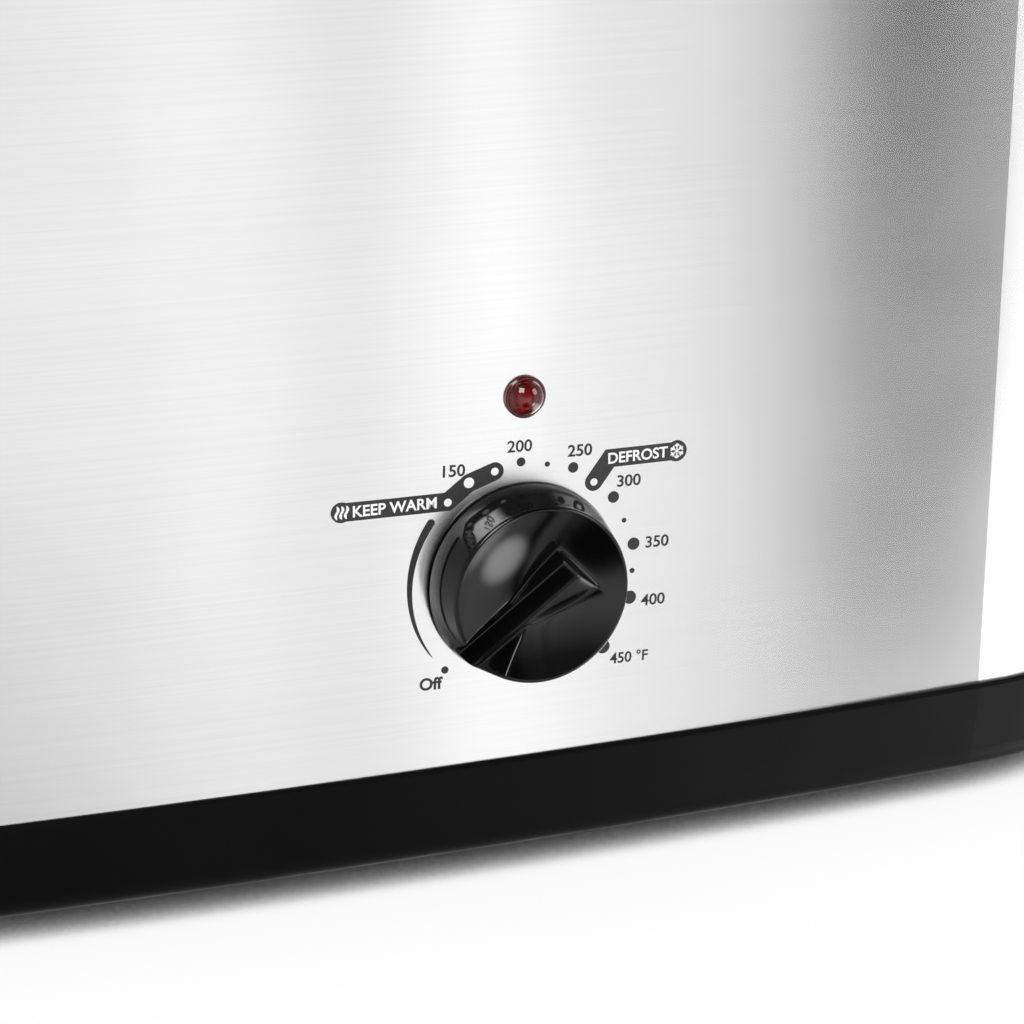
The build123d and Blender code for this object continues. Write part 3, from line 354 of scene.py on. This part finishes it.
GRIP_HALF = 2.9  # half the width of the grip bar
GRIP_FRONT = 15.4  # height of its highest end
GRIP_END = -9.9  # where that end is, on the side away from Off
GRIP_FALL = 0.28  # how fast its top falls towards Off
UPPER_FLANK, LOWER_FLANK, NOSE = 6.0, 0.5, 4.0  # how steep its two sides and its end are
UPPER_BLEND, LOWER_BLEND, NOSE_BLEND = 0.9, 0.5, 1.3
FOOT_BLEND = 0.5  # where it meets the dish
NOSE_FOOT_BLEND, NOSE_FOOT, NOSE_FOOT_REACH = 0.7, GRIP_END - 3, 3.5  # added to that round the nose's foot

GROOVE_HALF, GROOVE_DROP = 4.2, 2.0  # the groove is wider than the grip, and its floor lies lower
GROOVE_WALL = 3.0  # slope of the groove's walls, where the grip runs out through the rim
WALL_BLEND, GROOVE_BLEND = 1.2, 0.6  # between its floor and walls, and between it and the drum

FACE_LAP = 0.6  # how far the face's grid runs down the side
EDGE = pi / 2
# The grid's lines as (start, end, count) spans, close together where the grip's outline crosses them
LEVELS = ((-EDGE, -0.26, 64), (-0.26, -0.08, 24), (-0.08, 0.08, 8), (0.08, 0.34, 28), (0.34, EDGE, 60))
MERIDIANS = ((-EDGE, -0.64, 48), (-0.64, -0.34, 26), (-0.34, 0.7, 44), (0.7, EDGE, 60))
# The back as (radius, height) rings: the side's rounded foot, the hollow, the hub and the shaft's bore
BACK_RINGS = (
    (24.985, 1.25), (24.87, 0.9), (24.55, KNOB_BACK), (22.0, KNOB_BACK), (22.0, 2.4), (10.15, 5.3),
    (6.2, 5.3), (6.2, KNOB_BACK), (3.05, KNOB_BACK), (3.05, 5.0), (0.0, 5.0),
)


def knob_body(radius):
    """Height of the turned drum.

    It is the lower of a dish of one arc and a brow of another, and the brow meets the side's slope.
    """
    arc = (RIM**2 + DISH_DEPTH**2) / (2 * DISH_DEPTH)
    dish = RIM_RISE - DISH_DEPTH + arc - np.sqrt(arc**2 - radius**2)
    side = np.array((1.0, SIDE_FALL)) / np.hypot(1.0, SIDE_FALL)
    inward = np.array((-side[1], -side[0]))
    gap = np.array((SHOULDER - RIM, SHOULDER_RISE - RIM_RISE))
    bend = -(gap @ gap) / (2 * gap @ inward)
    middle = np.array((SHOULDER, SHOULDER_RISE)) + bend * inward
    brow = middle[1] + np.sqrt(np.maximum(bend**2 - np.maximum(radius - middle[0], 0) ** 2, 0))
    wall = SHOULDER_RISE - (radius - SHOULDER) * SIDE_FALL
    return lower_of(dish, np.where(radius < SHOULDER, brow, wall), RIM_BLEND)


def grip_line(along):
    """Height of the grip's sloping top edge: highest at the end away from Off."""
    return GRIP_FRONT - (along - GRIP_END) * GRIP_FALL


def groove(along, across):
    """Height of the groove that the grip runs out in: a floor below the grip, with walls that rise on both sides."""
    return grip_line(along) - GROOVE_DROP + higher_of(np.abs(across) - GROOVE_HALF, 0.0, WALL_BLEND) * GROOVE_WALL


def knob_height(along, across):
    """Height of the knob's face: the drum, cut by the groove, with the grip bar on it.

    The bar is the lowest of its sloping top, a steep flank above it, a leaning one below it and a steep nose,
    and the face is the higher of bar and drum.
    """
    drum = lower_of(knob_body(np.hypot(along, across)), groove(along, across), GROOVE_BLEND)
    top = grip_line(along)
    bar = lower_of(top, top + (GRIP_HALF + across) * UPPER_FLANK, UPPER_BLEND)
    bar = lower_of(bar, top + (GRIP_HALF - across) * LOWER_FLANK, LOWER_BLEND)
    bar = lower_of(bar, GRIP_FRONT + (along - GRIP_END) * NOSE, NOSE_BLEND)
    near_nose = np.exp(-(((along - NOSE_FOOT) / NOSE_FOOT_REACH) ** 2))
    return higher_of(drum, bar, FOOT_BLEND + NOSE_FOOT_BLEND * near_nose)


def crowded(spans):
    """Places along a line from (start, end, count) spans, so that a grid is fine where its shape turns fast."""
    return np.concatenate([np.linspace(a, b, n, endpoint=False) for a, b, n in spans] + [[spans[-1][1]]])


def make_knob():
    """The knob: a face whose grid is a globe's lines seen end on, and rings for its side and back."""
    turn, rise = np.meshgrid(crowded(MERIDIANS), crowded(LEVELS))
    along, across = np.cos(rise) * np.sin(turn), np.sin(rise)
    bearing = np.arctan2(across, along)
    reach = np.full(bearing.shape, SHOULDER)
    for _ in range(12):  # the side leans, so where the face ends depends on how low the groove cuts it
        top = np.minimum(SHOULDER_RISE, groove(reach * np.cos(bearing), reach * np.sin(bearing))) - FACE_LAP
        reach = KNOB_SIDE - (top - KNOB_BACK) / SIDE_FALL
    along, across = along * reach, across * reach
    points = np.stack((along, across, knob_height(along, across)), -1).reshape(-1, 3)

    rows, columns = along.shape
    number = np.arange(rows * columns).reshape(rows, columns)
    edge = points[np.concatenate((number[:-1, -1], number[::-1, 0][:-1]))]
    around = np.arctan2(edge[:, 1], edge[:, 0])
    rings = [edge]
    for radius, height in BACK_RINGS:
        rings.append(np.stack((radius * np.cos(around), radius * np.sin(around), np.full(len(around), height)), -1))
    rings.insert(1, 0.5 * (rings[0] + rings[1]))

    faces = grid_faces(rows, columns) + grid_faces(len(rings), len(edge), len(points), closed=True)
    along, across, height = np.vstack((points, *rings)).T
    x = DIAL.x + along * cos(OFF) - across * sin(OFF)
    z = DIAL.z + along * sin(OFF) + across * cos(OFF)
    return mesh_piece("knob", np.stack((x, DIAL.y - height, z), -1), faces, 50)


knob = make_knob()
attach(knob, "knob")
knob.data.materials.append(finishes["gloss_black"])
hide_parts("control_knob")


# ---------------------------------------------------------------------------
# The printed dial
# ---------------------------------------------------------------------------

PRINT_TURN = -1.4  # the print sits slightly turned round the knob's axis
INK = 0.05  # how far the ink stands on the steel
BADGE_INK = INK * 0.9  # a badge lies just under its band
WHITE = (0.09, print_white)  # how far the white ink stands on the steel, and its finish


def on_front(points, stand):
    """Panel points (x, height above the dial's centre) on the front face, moved outwards by stand.

    The face is bowed, so a point's place behind the front is FRONT_BOW - sqrt(FRONT_BOW**2 - x**2).
    """
    x, z = np.asarray(points, float).T
    turn = np.arcsin(x / FRONT_BOW)
    y = FRONT + FRONT_BOW * (1 - np.cos(turn)) - stand * np.cos(turn)
    return np.stack((x + stand * np.sin(turn), y, DIAL.z + z), -1)


def face_out(mesh):
    """Turn the faces of a print so that they point away from the steel, towards -Y."""
    work = bmesh.new()
    work.from_mesh(mesh)
    work.normal_update()
    bmesh.ops.reverse_faces(work, faces=[face for face in work.faces if face.normal.y > 0])
    work.to_mesh(mesh)
    work.free()
    mesh.update()


def lay_print(name, work, stand=INK, ink=print_ink):
    """Lay a flat mesh, drawn in x and z about the dial's centre, on the steel."""
    mesh = bpy.data.meshes.new(name)
    work.to_mesh(mesh)
    work.free()
    placed = on_front(coordinates(mesh)[:, [0, 2]], stand) * MM
    mesh.vertices.foreach_set("co", placed.ravel())
    face_out(mesh)
    mesh.materials.append(ink)
    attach(new_object(name, mesh), "body")


def print_shape(name, outline, stand=INK, ink=print_ink):
    """A flat printed shape, filled from its closed outline."""
    work = bmesh.new()
    face = work.faces.new([work.verts.new((x, 0, z)) for x, z in outline])
    bmesh.ops.triangulate(work, faces=[face])
    lay_print(name, work, stand, ink)


def word(name, text, centre, height, tilt, bold, stand=INK, ink=print_ink, squeeze=1.0):
    """Lettering whose capitals have the given height, centred on a place of the panel."""
    curve = bpy.data.curves.new(name, "FONT")
    curve.body = text
    curve.align_x, curve.align_y = "CENTER", "CENTER"
    curve.size = 1.0
    curve.offset = bold
    curve.fill_mode = "FRONT"
    curve.resolution_u = 6
    text_object = new_object(name, curve)
    bpy.context.view_layer.update()
    mesh = bpy.data.meshes.new_from_object(text_object.evaluated_get(bpy.context.evaluated_depsgraph_get()))
    bpy.data.objects.remove(text_object)
    bpy.data.curves.remove(curve)
    points = coordinates(mesh)[:, :2]
    low, high = points.min(0), points.max(0)
    points = (points - (low + high) / 2) * height / (high[1] - low[1])
    points[:, 0] *= squeeze
    lean = radians(tilt)
    turned = points @ np.array(((cos(lean), sin(lean)), (-sin(lean), cos(lean))))
    flat = np.zeros((len(points), 3))
    flat[:, [0, 2]] = turned + np.asarray(centre)
    mesh.vertices.foreach_set("co", flat.ravel())
    work = bmesh.new()
    work.from_mesh(mesh)
    bpy.data.meshes.remove(mesh)
    lay_print(name, work, stand, ink)


def dial_point(angle, radius):
    """A place on the dial, with the angle clockwise from twelve o'clock."""
    turned = radians(angle + PRINT_TURN)
    return np.array((radius * sin(turned), radius * cos(turned)))


def disc(centre, radius, count=40):
    """The outline of a disc."""
    turn = np.linspace(0, 2 * np.pi, count, endpoint=False)
    return np.stack((centre[0] + radius * np.cos(turn), centre[1] + radius * np.sin(turn)), -1)


def band(centres, half_width, steps=14):
    """The outline of a band that follows a run of points, with round ends."""
    line = np.asarray(centres, float)
    step = np.diff(line, axis=0)
    step /= np.linalg.norm(step, axis=1)[:, None]
    across = np.stack((-step[:, 1], step[:, 0]), -1)
    joint = across[:-1] + across[1:]
    joint /= (joint * across[1:]).sum(1)[:, None]
    reach = half_width * np.vstack((across[:1], joint, across[-1:]))

    def round_end(centre, start):
        begin = np.arctan2(start[1], start[0])
        turn = begin - np.linspace(0, np.pi, steps)[1:-1]
        return centre + half_width * np.stack((np.cos(turn), np.sin(turn)), -1)

    far, near = round_end(line[-1], across[-1]), round_end(line[0], -across[0])
    return np.vstack((line + reach, far, (line - reach)[::-1], near))


def wave_outline(centre, height, half_width, swing, count=24):
    """A standing wavy line: its middle is centre.x + swing * sin of its height, and it thins at both ends."""
    step = np.linspace(-1, 1, count)
    middle = centre[0] + swing * np.sin(step * np.pi)
    thick = half_width * np.sqrt(1 - step**2) + 0.06
    level = centre[1] + step * height / 2
    return np.vstack((np.stack((middle - thick, level), -1), np.stack((middle + thick, level), -1)[::-1]))


def snow_arm(centre, angle, length, half_width):
    """One arm of the snow crystal with a pair of side twigs, as a bent outline."""
    along = np.array((sin(radians(angle)), cos(radians(angle))))
    side = np.array((along[1], -along[0]))
    twig = 0.55 * length
    edge = [
        (0, half_width), (twig, half_width), (twig + 0.35, half_width + 0.6), (twig + 0.62, half_width + 0.42),
        (twig + 0.4, half_width), (length, half_width),
    ]
    shape = [(reach, -aside) for reach, aside in edge] + edge[::-1]
    return np.array([centre + reach * along + aside * side for reach, aside in shape])


def print_sweep(name, start, end, radius, widest, count=60):
    """The tapered arc beside the knob, as a strip: round and widest at its start, and thinning to a point."""
    share = np.linspace(0, 1, count) ** 1.3
    turned = np.radians(start + (end - start) * share + PRINT_TURN)
    half = widest / 2 * np.sqrt(1 - share) * (1 - 0.15 * share)
    ray = np.stack((np.sin(turned), np.cos(turned)), -1)
    outer, inner = ray * (radius + half)[:, None], ray * (radius - half)[:, None]
    work = bmesh.new()
    verts = [work.verts.new((x, 0, z)) for x, z in np.vstack((outer, inner))]
    for a, b, c, d in grid_faces(2, count):
        work.faces.new((verts[a], verts[b], verts[c], verts[d]))
    lay_print(name, work)
    print_shape(f"{name}_end", disc(dial_point(start, radius), widest / 2))


# Dots as angle clockwise from the top, radius of their circle and radius of the dot
BIG, SMALL = 30.4, 29.7  # circles that the marks with a number and the rest stand on
DOTS = {
    "off": (-135, SMALL, 0.95), "mark_200": (0, BIG, 1.15), "mark_225": (13.5, SMALL, 0.68),
    "mark_250": (27, BIG, 1.35), "mark_300": (54, BIG, 1.5), "mark_325": (67.5, SMALL, 0.62),
    "mark_350": (81, BIG, 1.62), "mark_375": (94.5, SMALL, 0.68), "mark_400": (108, BIG, 1.75),
    "mark_450": (135, BIG, 1.85),
}
WARM_DOTS = {"125": (-40.5, SMALL, 1.0), "150": (-27, BIG - 0.2, 1.35), "175": (-13.5, SMALL, 1.0)}
NUMERALS = {
    "150": (-18.2, 30.0), "200": (-1.1, 34.5), "250": (14.9, 31.7), "300": (28.3, 22.4),
    "350": (36.4, 5.4), "400": (35.6, -10.0),
}
NUMERAL_HEIGHT, NUMERAL_BOLD, NUMERAL_WIDTH = 3.05, 0.015, 1.06
BAND_HALF = 2.35
BAND_WORD = (2.9, 0.0, 0.022, *WHITE)  # height, tilt and boldness of the words on the bands, and their ink
WARM_LINE = ((-47.3, 22.5), (-19.8, 22.3), dial_point(-27, BIG - 0.3), dial_point(-13.5, SMALL))
THAW_END = dial_point(40.5, SMALL)
SNOW = np.array((41.2, 28.6))
STEAM_X, STEAM_Z = -46.9, 22.5

for label, (angle, ring, size) in DOTS.items():
    print_shape(f"dial_{label}", disc(dial_point(angle, ring), size))

for text, place in NUMERALS.items():
    word(f"dial_{text}", text, place, NUMERAL_HEIGHT, PRINT_TURN, NUMERAL_BOLD, squeeze=NUMERAL_WIDTH)
word("dial_450", "450 °F", (29.3, -24.6), NUMERAL_HEIGHT, PRINT_TURN, NUMERAL_BOLD)
word("dial_off_word", "Off", (-24.1, -24.7), 3.3, PRINT_TURN, 0.026)

print_shape("keep_warm_band", band(WARM_LINE, BAND_HALF))
for label, (angle, ring, size) in WARM_DOTS.items():
    print_shape(f"keep_warm_dot_{label}", disc(dial_point(angle, ring), size), *WHITE)
word("keep_warm_word", "KEEP WARM", (-33.4, 22.45), *BAND_WORD)

print_shape("defrost_band", band([THAW_END, (23.0, 28.7), (41.0, 28.6)], BAND_HALF))
print_shape("defrost_dot", disc(THAW_END, 0.95), *WHITE)
word("defrost_word", "DEFROST", (30.6, 28.7), *BAND_WORD)

for index, offset in enumerate((-1.2, 0.0, 1.2)):
    print_shape(f"steam_{index}", wave_outline((STEAM_X + offset, STEAM_Z), 3.4, 0.3, 0.35), *WHITE)
for index in range(6):
    print_shape(f"snow_{index}", snow_arm(SNOW, 60 * index, 1.95, 0.17), *WHITE)

print_shape("defrost_badge", disc(SNOW, 2.75), BADGE_INK)
print_shape("keep_warm_badge", disc((-47.0, 22.5), 2.6), BADGE_INK)
print_sweep("off_sweep", -53, -126, SMALL, 2.0)


# ---------------------------------------------------------------------------
# Studio
# ---------------------------------------------------------------------------

VIEW_TURN, VIEW_RISE, VIEW_ROLL = radians(21.8), radians(18.6), radians(-0.5)  # from the left and from above
VIEW_DISTANCE = 786.0  # from the camera to the dial
VIEW_WIDTH = 1024.0  # of the picture, in pixels
VIEW_FOCAL = 3176.0  # focal length in the same pixels
DIAL_ACROSS, DIAL_DOWN = 522.7, 578.6  # where the dial's centre stands in the picture, from its top left
SENSOR = 36.0

# By name: place, height of the point on the axis that it faces, size, all in metres, and power in watts
LAMPS = {
    "key": ((-1.0, -1.6, 1.9), 0.1, 1.2, 36),
    "fill": ((1.5, -1.2, 0.9), 0.12, 0.9, 10),
    "top": ((0.1, 0.5, 2.0), 0.2, 1.4, 22),
    "back": ((-0.9, 1.9, 1.2), 0.2, 1.2, 18),
}

# How bright the room looks in a gloss, by the bearing from the front in degrees, anticlockwise from above
ROOM_ROUND = (
    (-180, 0.8), (-150, 0.5), (-120, 0.95), (-88, 0.85), (-62, 0.45), (-45, 0.65), (-28, 1.0), (0, 0.98),
    (8.5, 1.02), (12.6, 1.14), (15.2, 1.0), (17.4, 0.76), (19.2, 1.06), (21.6, 1.3), (23.4, 0.96), (26.5, 0.94),
    (29.4, 0.8), (31.6, 0.3), (33.2, 0.0), (36.0, 0.0), (38, 0.45), (44, 0.85), (60, 1.0), (80, 0.6),
    (100, 0.9), (125, 0.55), (150, 0.9), (180, 0.8),
)
# The same by height, as the sine of the angle above the horizon: to the front, and all round the rest
ROOM_UP_FRONT = (
    (-1.0, 0.5), (-0.72, 0.8), (-0.6, 0.9), (-0.48, 1.1), (-0.15, 1.12), (0.0, 0.75), (0.2, 0.14), (1.0, 0.05),
)
ROOM_UP_REST = ((-1.0, 0.5), (-0.6, 0.9), (-0.1, 1.0), (0.05, 0.9), (0.3, 0.6), (0.6, 0.42), (1.0, 0.38))
FRONT_SECTOR = ((-180, 0.0), (-40, 0.0), (-15, 1.0), (45, 1.0), (75, 0.0), (180, 0.0))
# Soft round spots in it: bearing, rise and reach in degrees, and value
GLOW = (47, -36, 12.5, 4.6)  # a soft lamp near the floor
CARD = (-4, -42, 26, 1.0)  # a black card in front, which darkens the room
BOARD = (78, -43, 17, 3.2)  # a pale board at the right
ROOM_LIGHT = 0.55  # how much light the room itself gives

FLOOR_REACH = 6.0  # metres from the middle to each side
FLOOR_TONE = 0.86
SHADOW_REACH = 0.05  # metres over which the object darkens the floor
SHADOW_DARK, SHADOW_PALE = 0.125, 0.27  # how open the floor is where the shadow is darkest, and where it ends
FLOOR_GLOW = 0.9  # share of the floor's look that is its own light, so that it is as white as the room


def make_camera():
    """The camera, placed so that the dial stands where it should in the picture."""
    right = Vector((cos(VIEW_TURN), -sin(VIEW_TURN), 0))
    up = Vector((sin(VIEW_TURN) * sin(VIEW_RISE), cos(VIEW_TURN) * sin(VIEW_RISE), cos(VIEW_RISE)))
    back = Vector((-sin(VIEW_TURN) * cos(VIEW_RISE), -cos(VIEW_TURN) * cos(VIEW_RISE), sin(VIEW_RISE)))
    right, up = cos(VIEW_ROLL) * right - sin(VIEW_ROLL) * up, sin(VIEW_ROLL) * right + cos(VIEW_ROLL) * up
    aside = (DIAL_ACROSS - VIEW_WIDTH / 2) / VIEW_FOCAL * VIEW_DISTANCE
    over = (VIEW_WIDTH / 2 - DIAL_DOWN) / VIEW_FOCAL * VIEW_DISTANCE
    place = (DIAL - aside * right - over * up + VIEW_DISTANCE * back) * MM
    data = bpy.data.cameras.new("camera")
    data.sensor_width = SENSOR
    data.sensor_fit = "HORIZONTAL"
    data.lens = SENSOR * (VIEW_FOCAL / VIEW_WIDTH)
    data.clip_start, data.clip_end = 0.01, 50
    camera = new_object("camera", data)
    camera.matrix_world = Matrix.Translation(place) @ Matrix((right, up, back)).transposed().to_4x4()
    scene.camera = camera


def softbox(name, place, aim, size, power):
    """A square lamp that faces a point on the object's axis."""
    data = bpy.data.lights.new(name, "AREA")
    data.shape = "RECTANGLE"
    data.size, data.size_y = size, size
    data.energy = power
    lamp = new_object(name, data)
    lamp.location = place
    lamp.rotation_mode = "QUATERNION"
    lamp.rotation_quaternion = (Vector((0, 0, aim)) - Vector(place)).to_track_quat("-Z", "Y")


def sight(nodes):
    """The light path's outputs, and whether a ray comes from the camera, straight or through glass."""
    rays = nodes.add("ShaderNodeLightPath").outputs
    return rays, combine(nodes, "MAXIMUM", rays["Is Camera Ray"], rays["Is Transmission Ray"])


def ramp(nodes, source, stops, low, high):
    """A grey ramp from (place, value) stops over low to high."""
    node = nodes.add("ShaderNodeValToRGB", Fac=remap(nodes, source, low, high))
    colours = node.color_ramp.elements
    for index, (place, value) in enumerate(stops):
        at = (place - low) / (high - low)
        stop = colours[index] if index < 2 else colours.new(at)  # a new ramp has two stops
        stop.position = at
        stop.color = (value, value, value, 1)
    return node.outputs[0]


def spot(nodes, place, bearing, rise, reach, value):
    """A soft round spot in the room: value in the middle, nothing beyond its reach."""
    bearing, rise, reach = radians(bearing), radians(rise), radians(reach)
    toward = (sin(bearing) * cos(rise), -cos(bearing) * cos(rise), sin(rise))
    near = nodes.add("ShaderNodeVectorMath", {"operation": "DOT_PRODUCT"}, i0=place, i1=toward).outputs["Value"]
    return remap(nodes, near, cos(reach), 1.0, 0.0, value, interpolation_type="SMOOTHERSTEP")


def make_room():
    """White to the camera and through glass; in a gloss, pale panels round the object that darken upwards."""
    world = bpy.data.worlds.new("studio")
    scene.world = world
    nodes = new_tree(world)
    rays, seen = sight(nodes)
    place = nodes.add("ShaderNodeTexCoord").outputs["Generated"]
    way = nodes.add("ShaderNodeSeparateXYZ", i0=place).outputs
    bearing = combine(nodes, "ARCTAN2", way["X"], combine(nodes, "MULTIPLY", way["Y"], -1.0))
    bands, sector = (
        ramp(nodes, bearing, [(radians(a), v) for a, v in stops], -pi, pi) for stops in (ROOM_ROUND, FRONT_SECTOR)
    )
    rest, front = (ramp(nodes, way["Z"], stops, -1.0, 1.0) for stops in (ROOM_UP_REST, ROOM_UP_FRONT))
    panels = mix_colours(nodes, "MULTIPLY", bands, mix_colours(nodes, "MIX", rest, front, sector))
    card = combine(nodes, "SUBTRACT", 1.0, spot(nodes, place, *CARD), use_clamp=True)
    lights = combine(nodes, "ADD", spot(nodes, place, *GLOW), spot(nodes, place, *BOARD))
    mirrored = mix_colours(nodes, "ADD", mix_colours(nodes, "MULTIPLY", panels, card), lights)
    plain, glow, mirror = (
        nodes.add("ShaderNodeBackground", Color=colour, Strength=strength).outputs[0]
        for colour, strength in (((1, 1, 1, 1), 1.0), ((1, 1, 1, 1), ROOM_LIGHT), (mirrored, 1.0))
    )
    lit = nodes.add("ShaderNodeMixShader", i0=rays["Is Glossy Ray"], i1=glow, i2=mirror)
    sky = nodes.add("ShaderNodeMixShader", i0=seen, i1=lit.outputs[0], i2=plain)
    nodes.add("ShaderNodeOutputWorld", Surface=sky.outputs[0])


def make_floor():
    """A plain pale floor that keeps a soft shadow; a gloss looks through it, to the room's pale lower half."""
    mesh = bpy.data.meshes.new("floor")
    corners = [(x * FLOOR_REACH, y * FLOOR_REACH, 0) for x, y in ((-1, -1), (1, -1), (1, 1), (-1, 1))]
    mesh.from_pydata(corners, [], [(0, 1, 2, 3)])
    floor = new_object("floor", mesh)
    material = bpy.data.materials.new("pale_floor")
    nodes = new_tree(material)
    rays, seen = sight(nodes)
    matt = nodes.add("ShaderNodeBsdfDiffuse", Color=(FLOOR_TONE, FLOOR_TONE, FLOOR_TONE, 1))
    cover = nodes.add("ShaderNodeAmbientOcclusion", {"samples": 12}, Distance=SHADOW_REACH)
    shadow = remap(nodes, cover.outputs["AO"], SHADOW_DARK, SHADOW_PALE)
    bright = nodes.add("ShaderNodeEmission", Color=(1, 1, 1, 1), Strength=shadow)
    share = combine(nodes, "MULTIPLY", seen, FLOOR_GLOW)
    shown = nodes.add("ShaderNodeMixShader", i0=share, i1=matt.outputs[0], i2=bright.outputs[0])
    clear = nodes.add("ShaderNodeBsdfTransparent")
    surface = nodes.add("ShaderNodeMixShader", i0=rays["Is Glossy Ray"], i1=shown.outputs[0], i2=clear.outputs[0])
    nodes.add("ShaderNodeOutputMaterial", Surface=surface.outputs[0])
    mesh.materials.append(material)


scene.view_settings.view_transform = "Standard"
make_camera()
for name, (place, aim, size, power) in LAMPS.items():
    softbox(name, place, aim, size, power)
make_room()
make_floor()
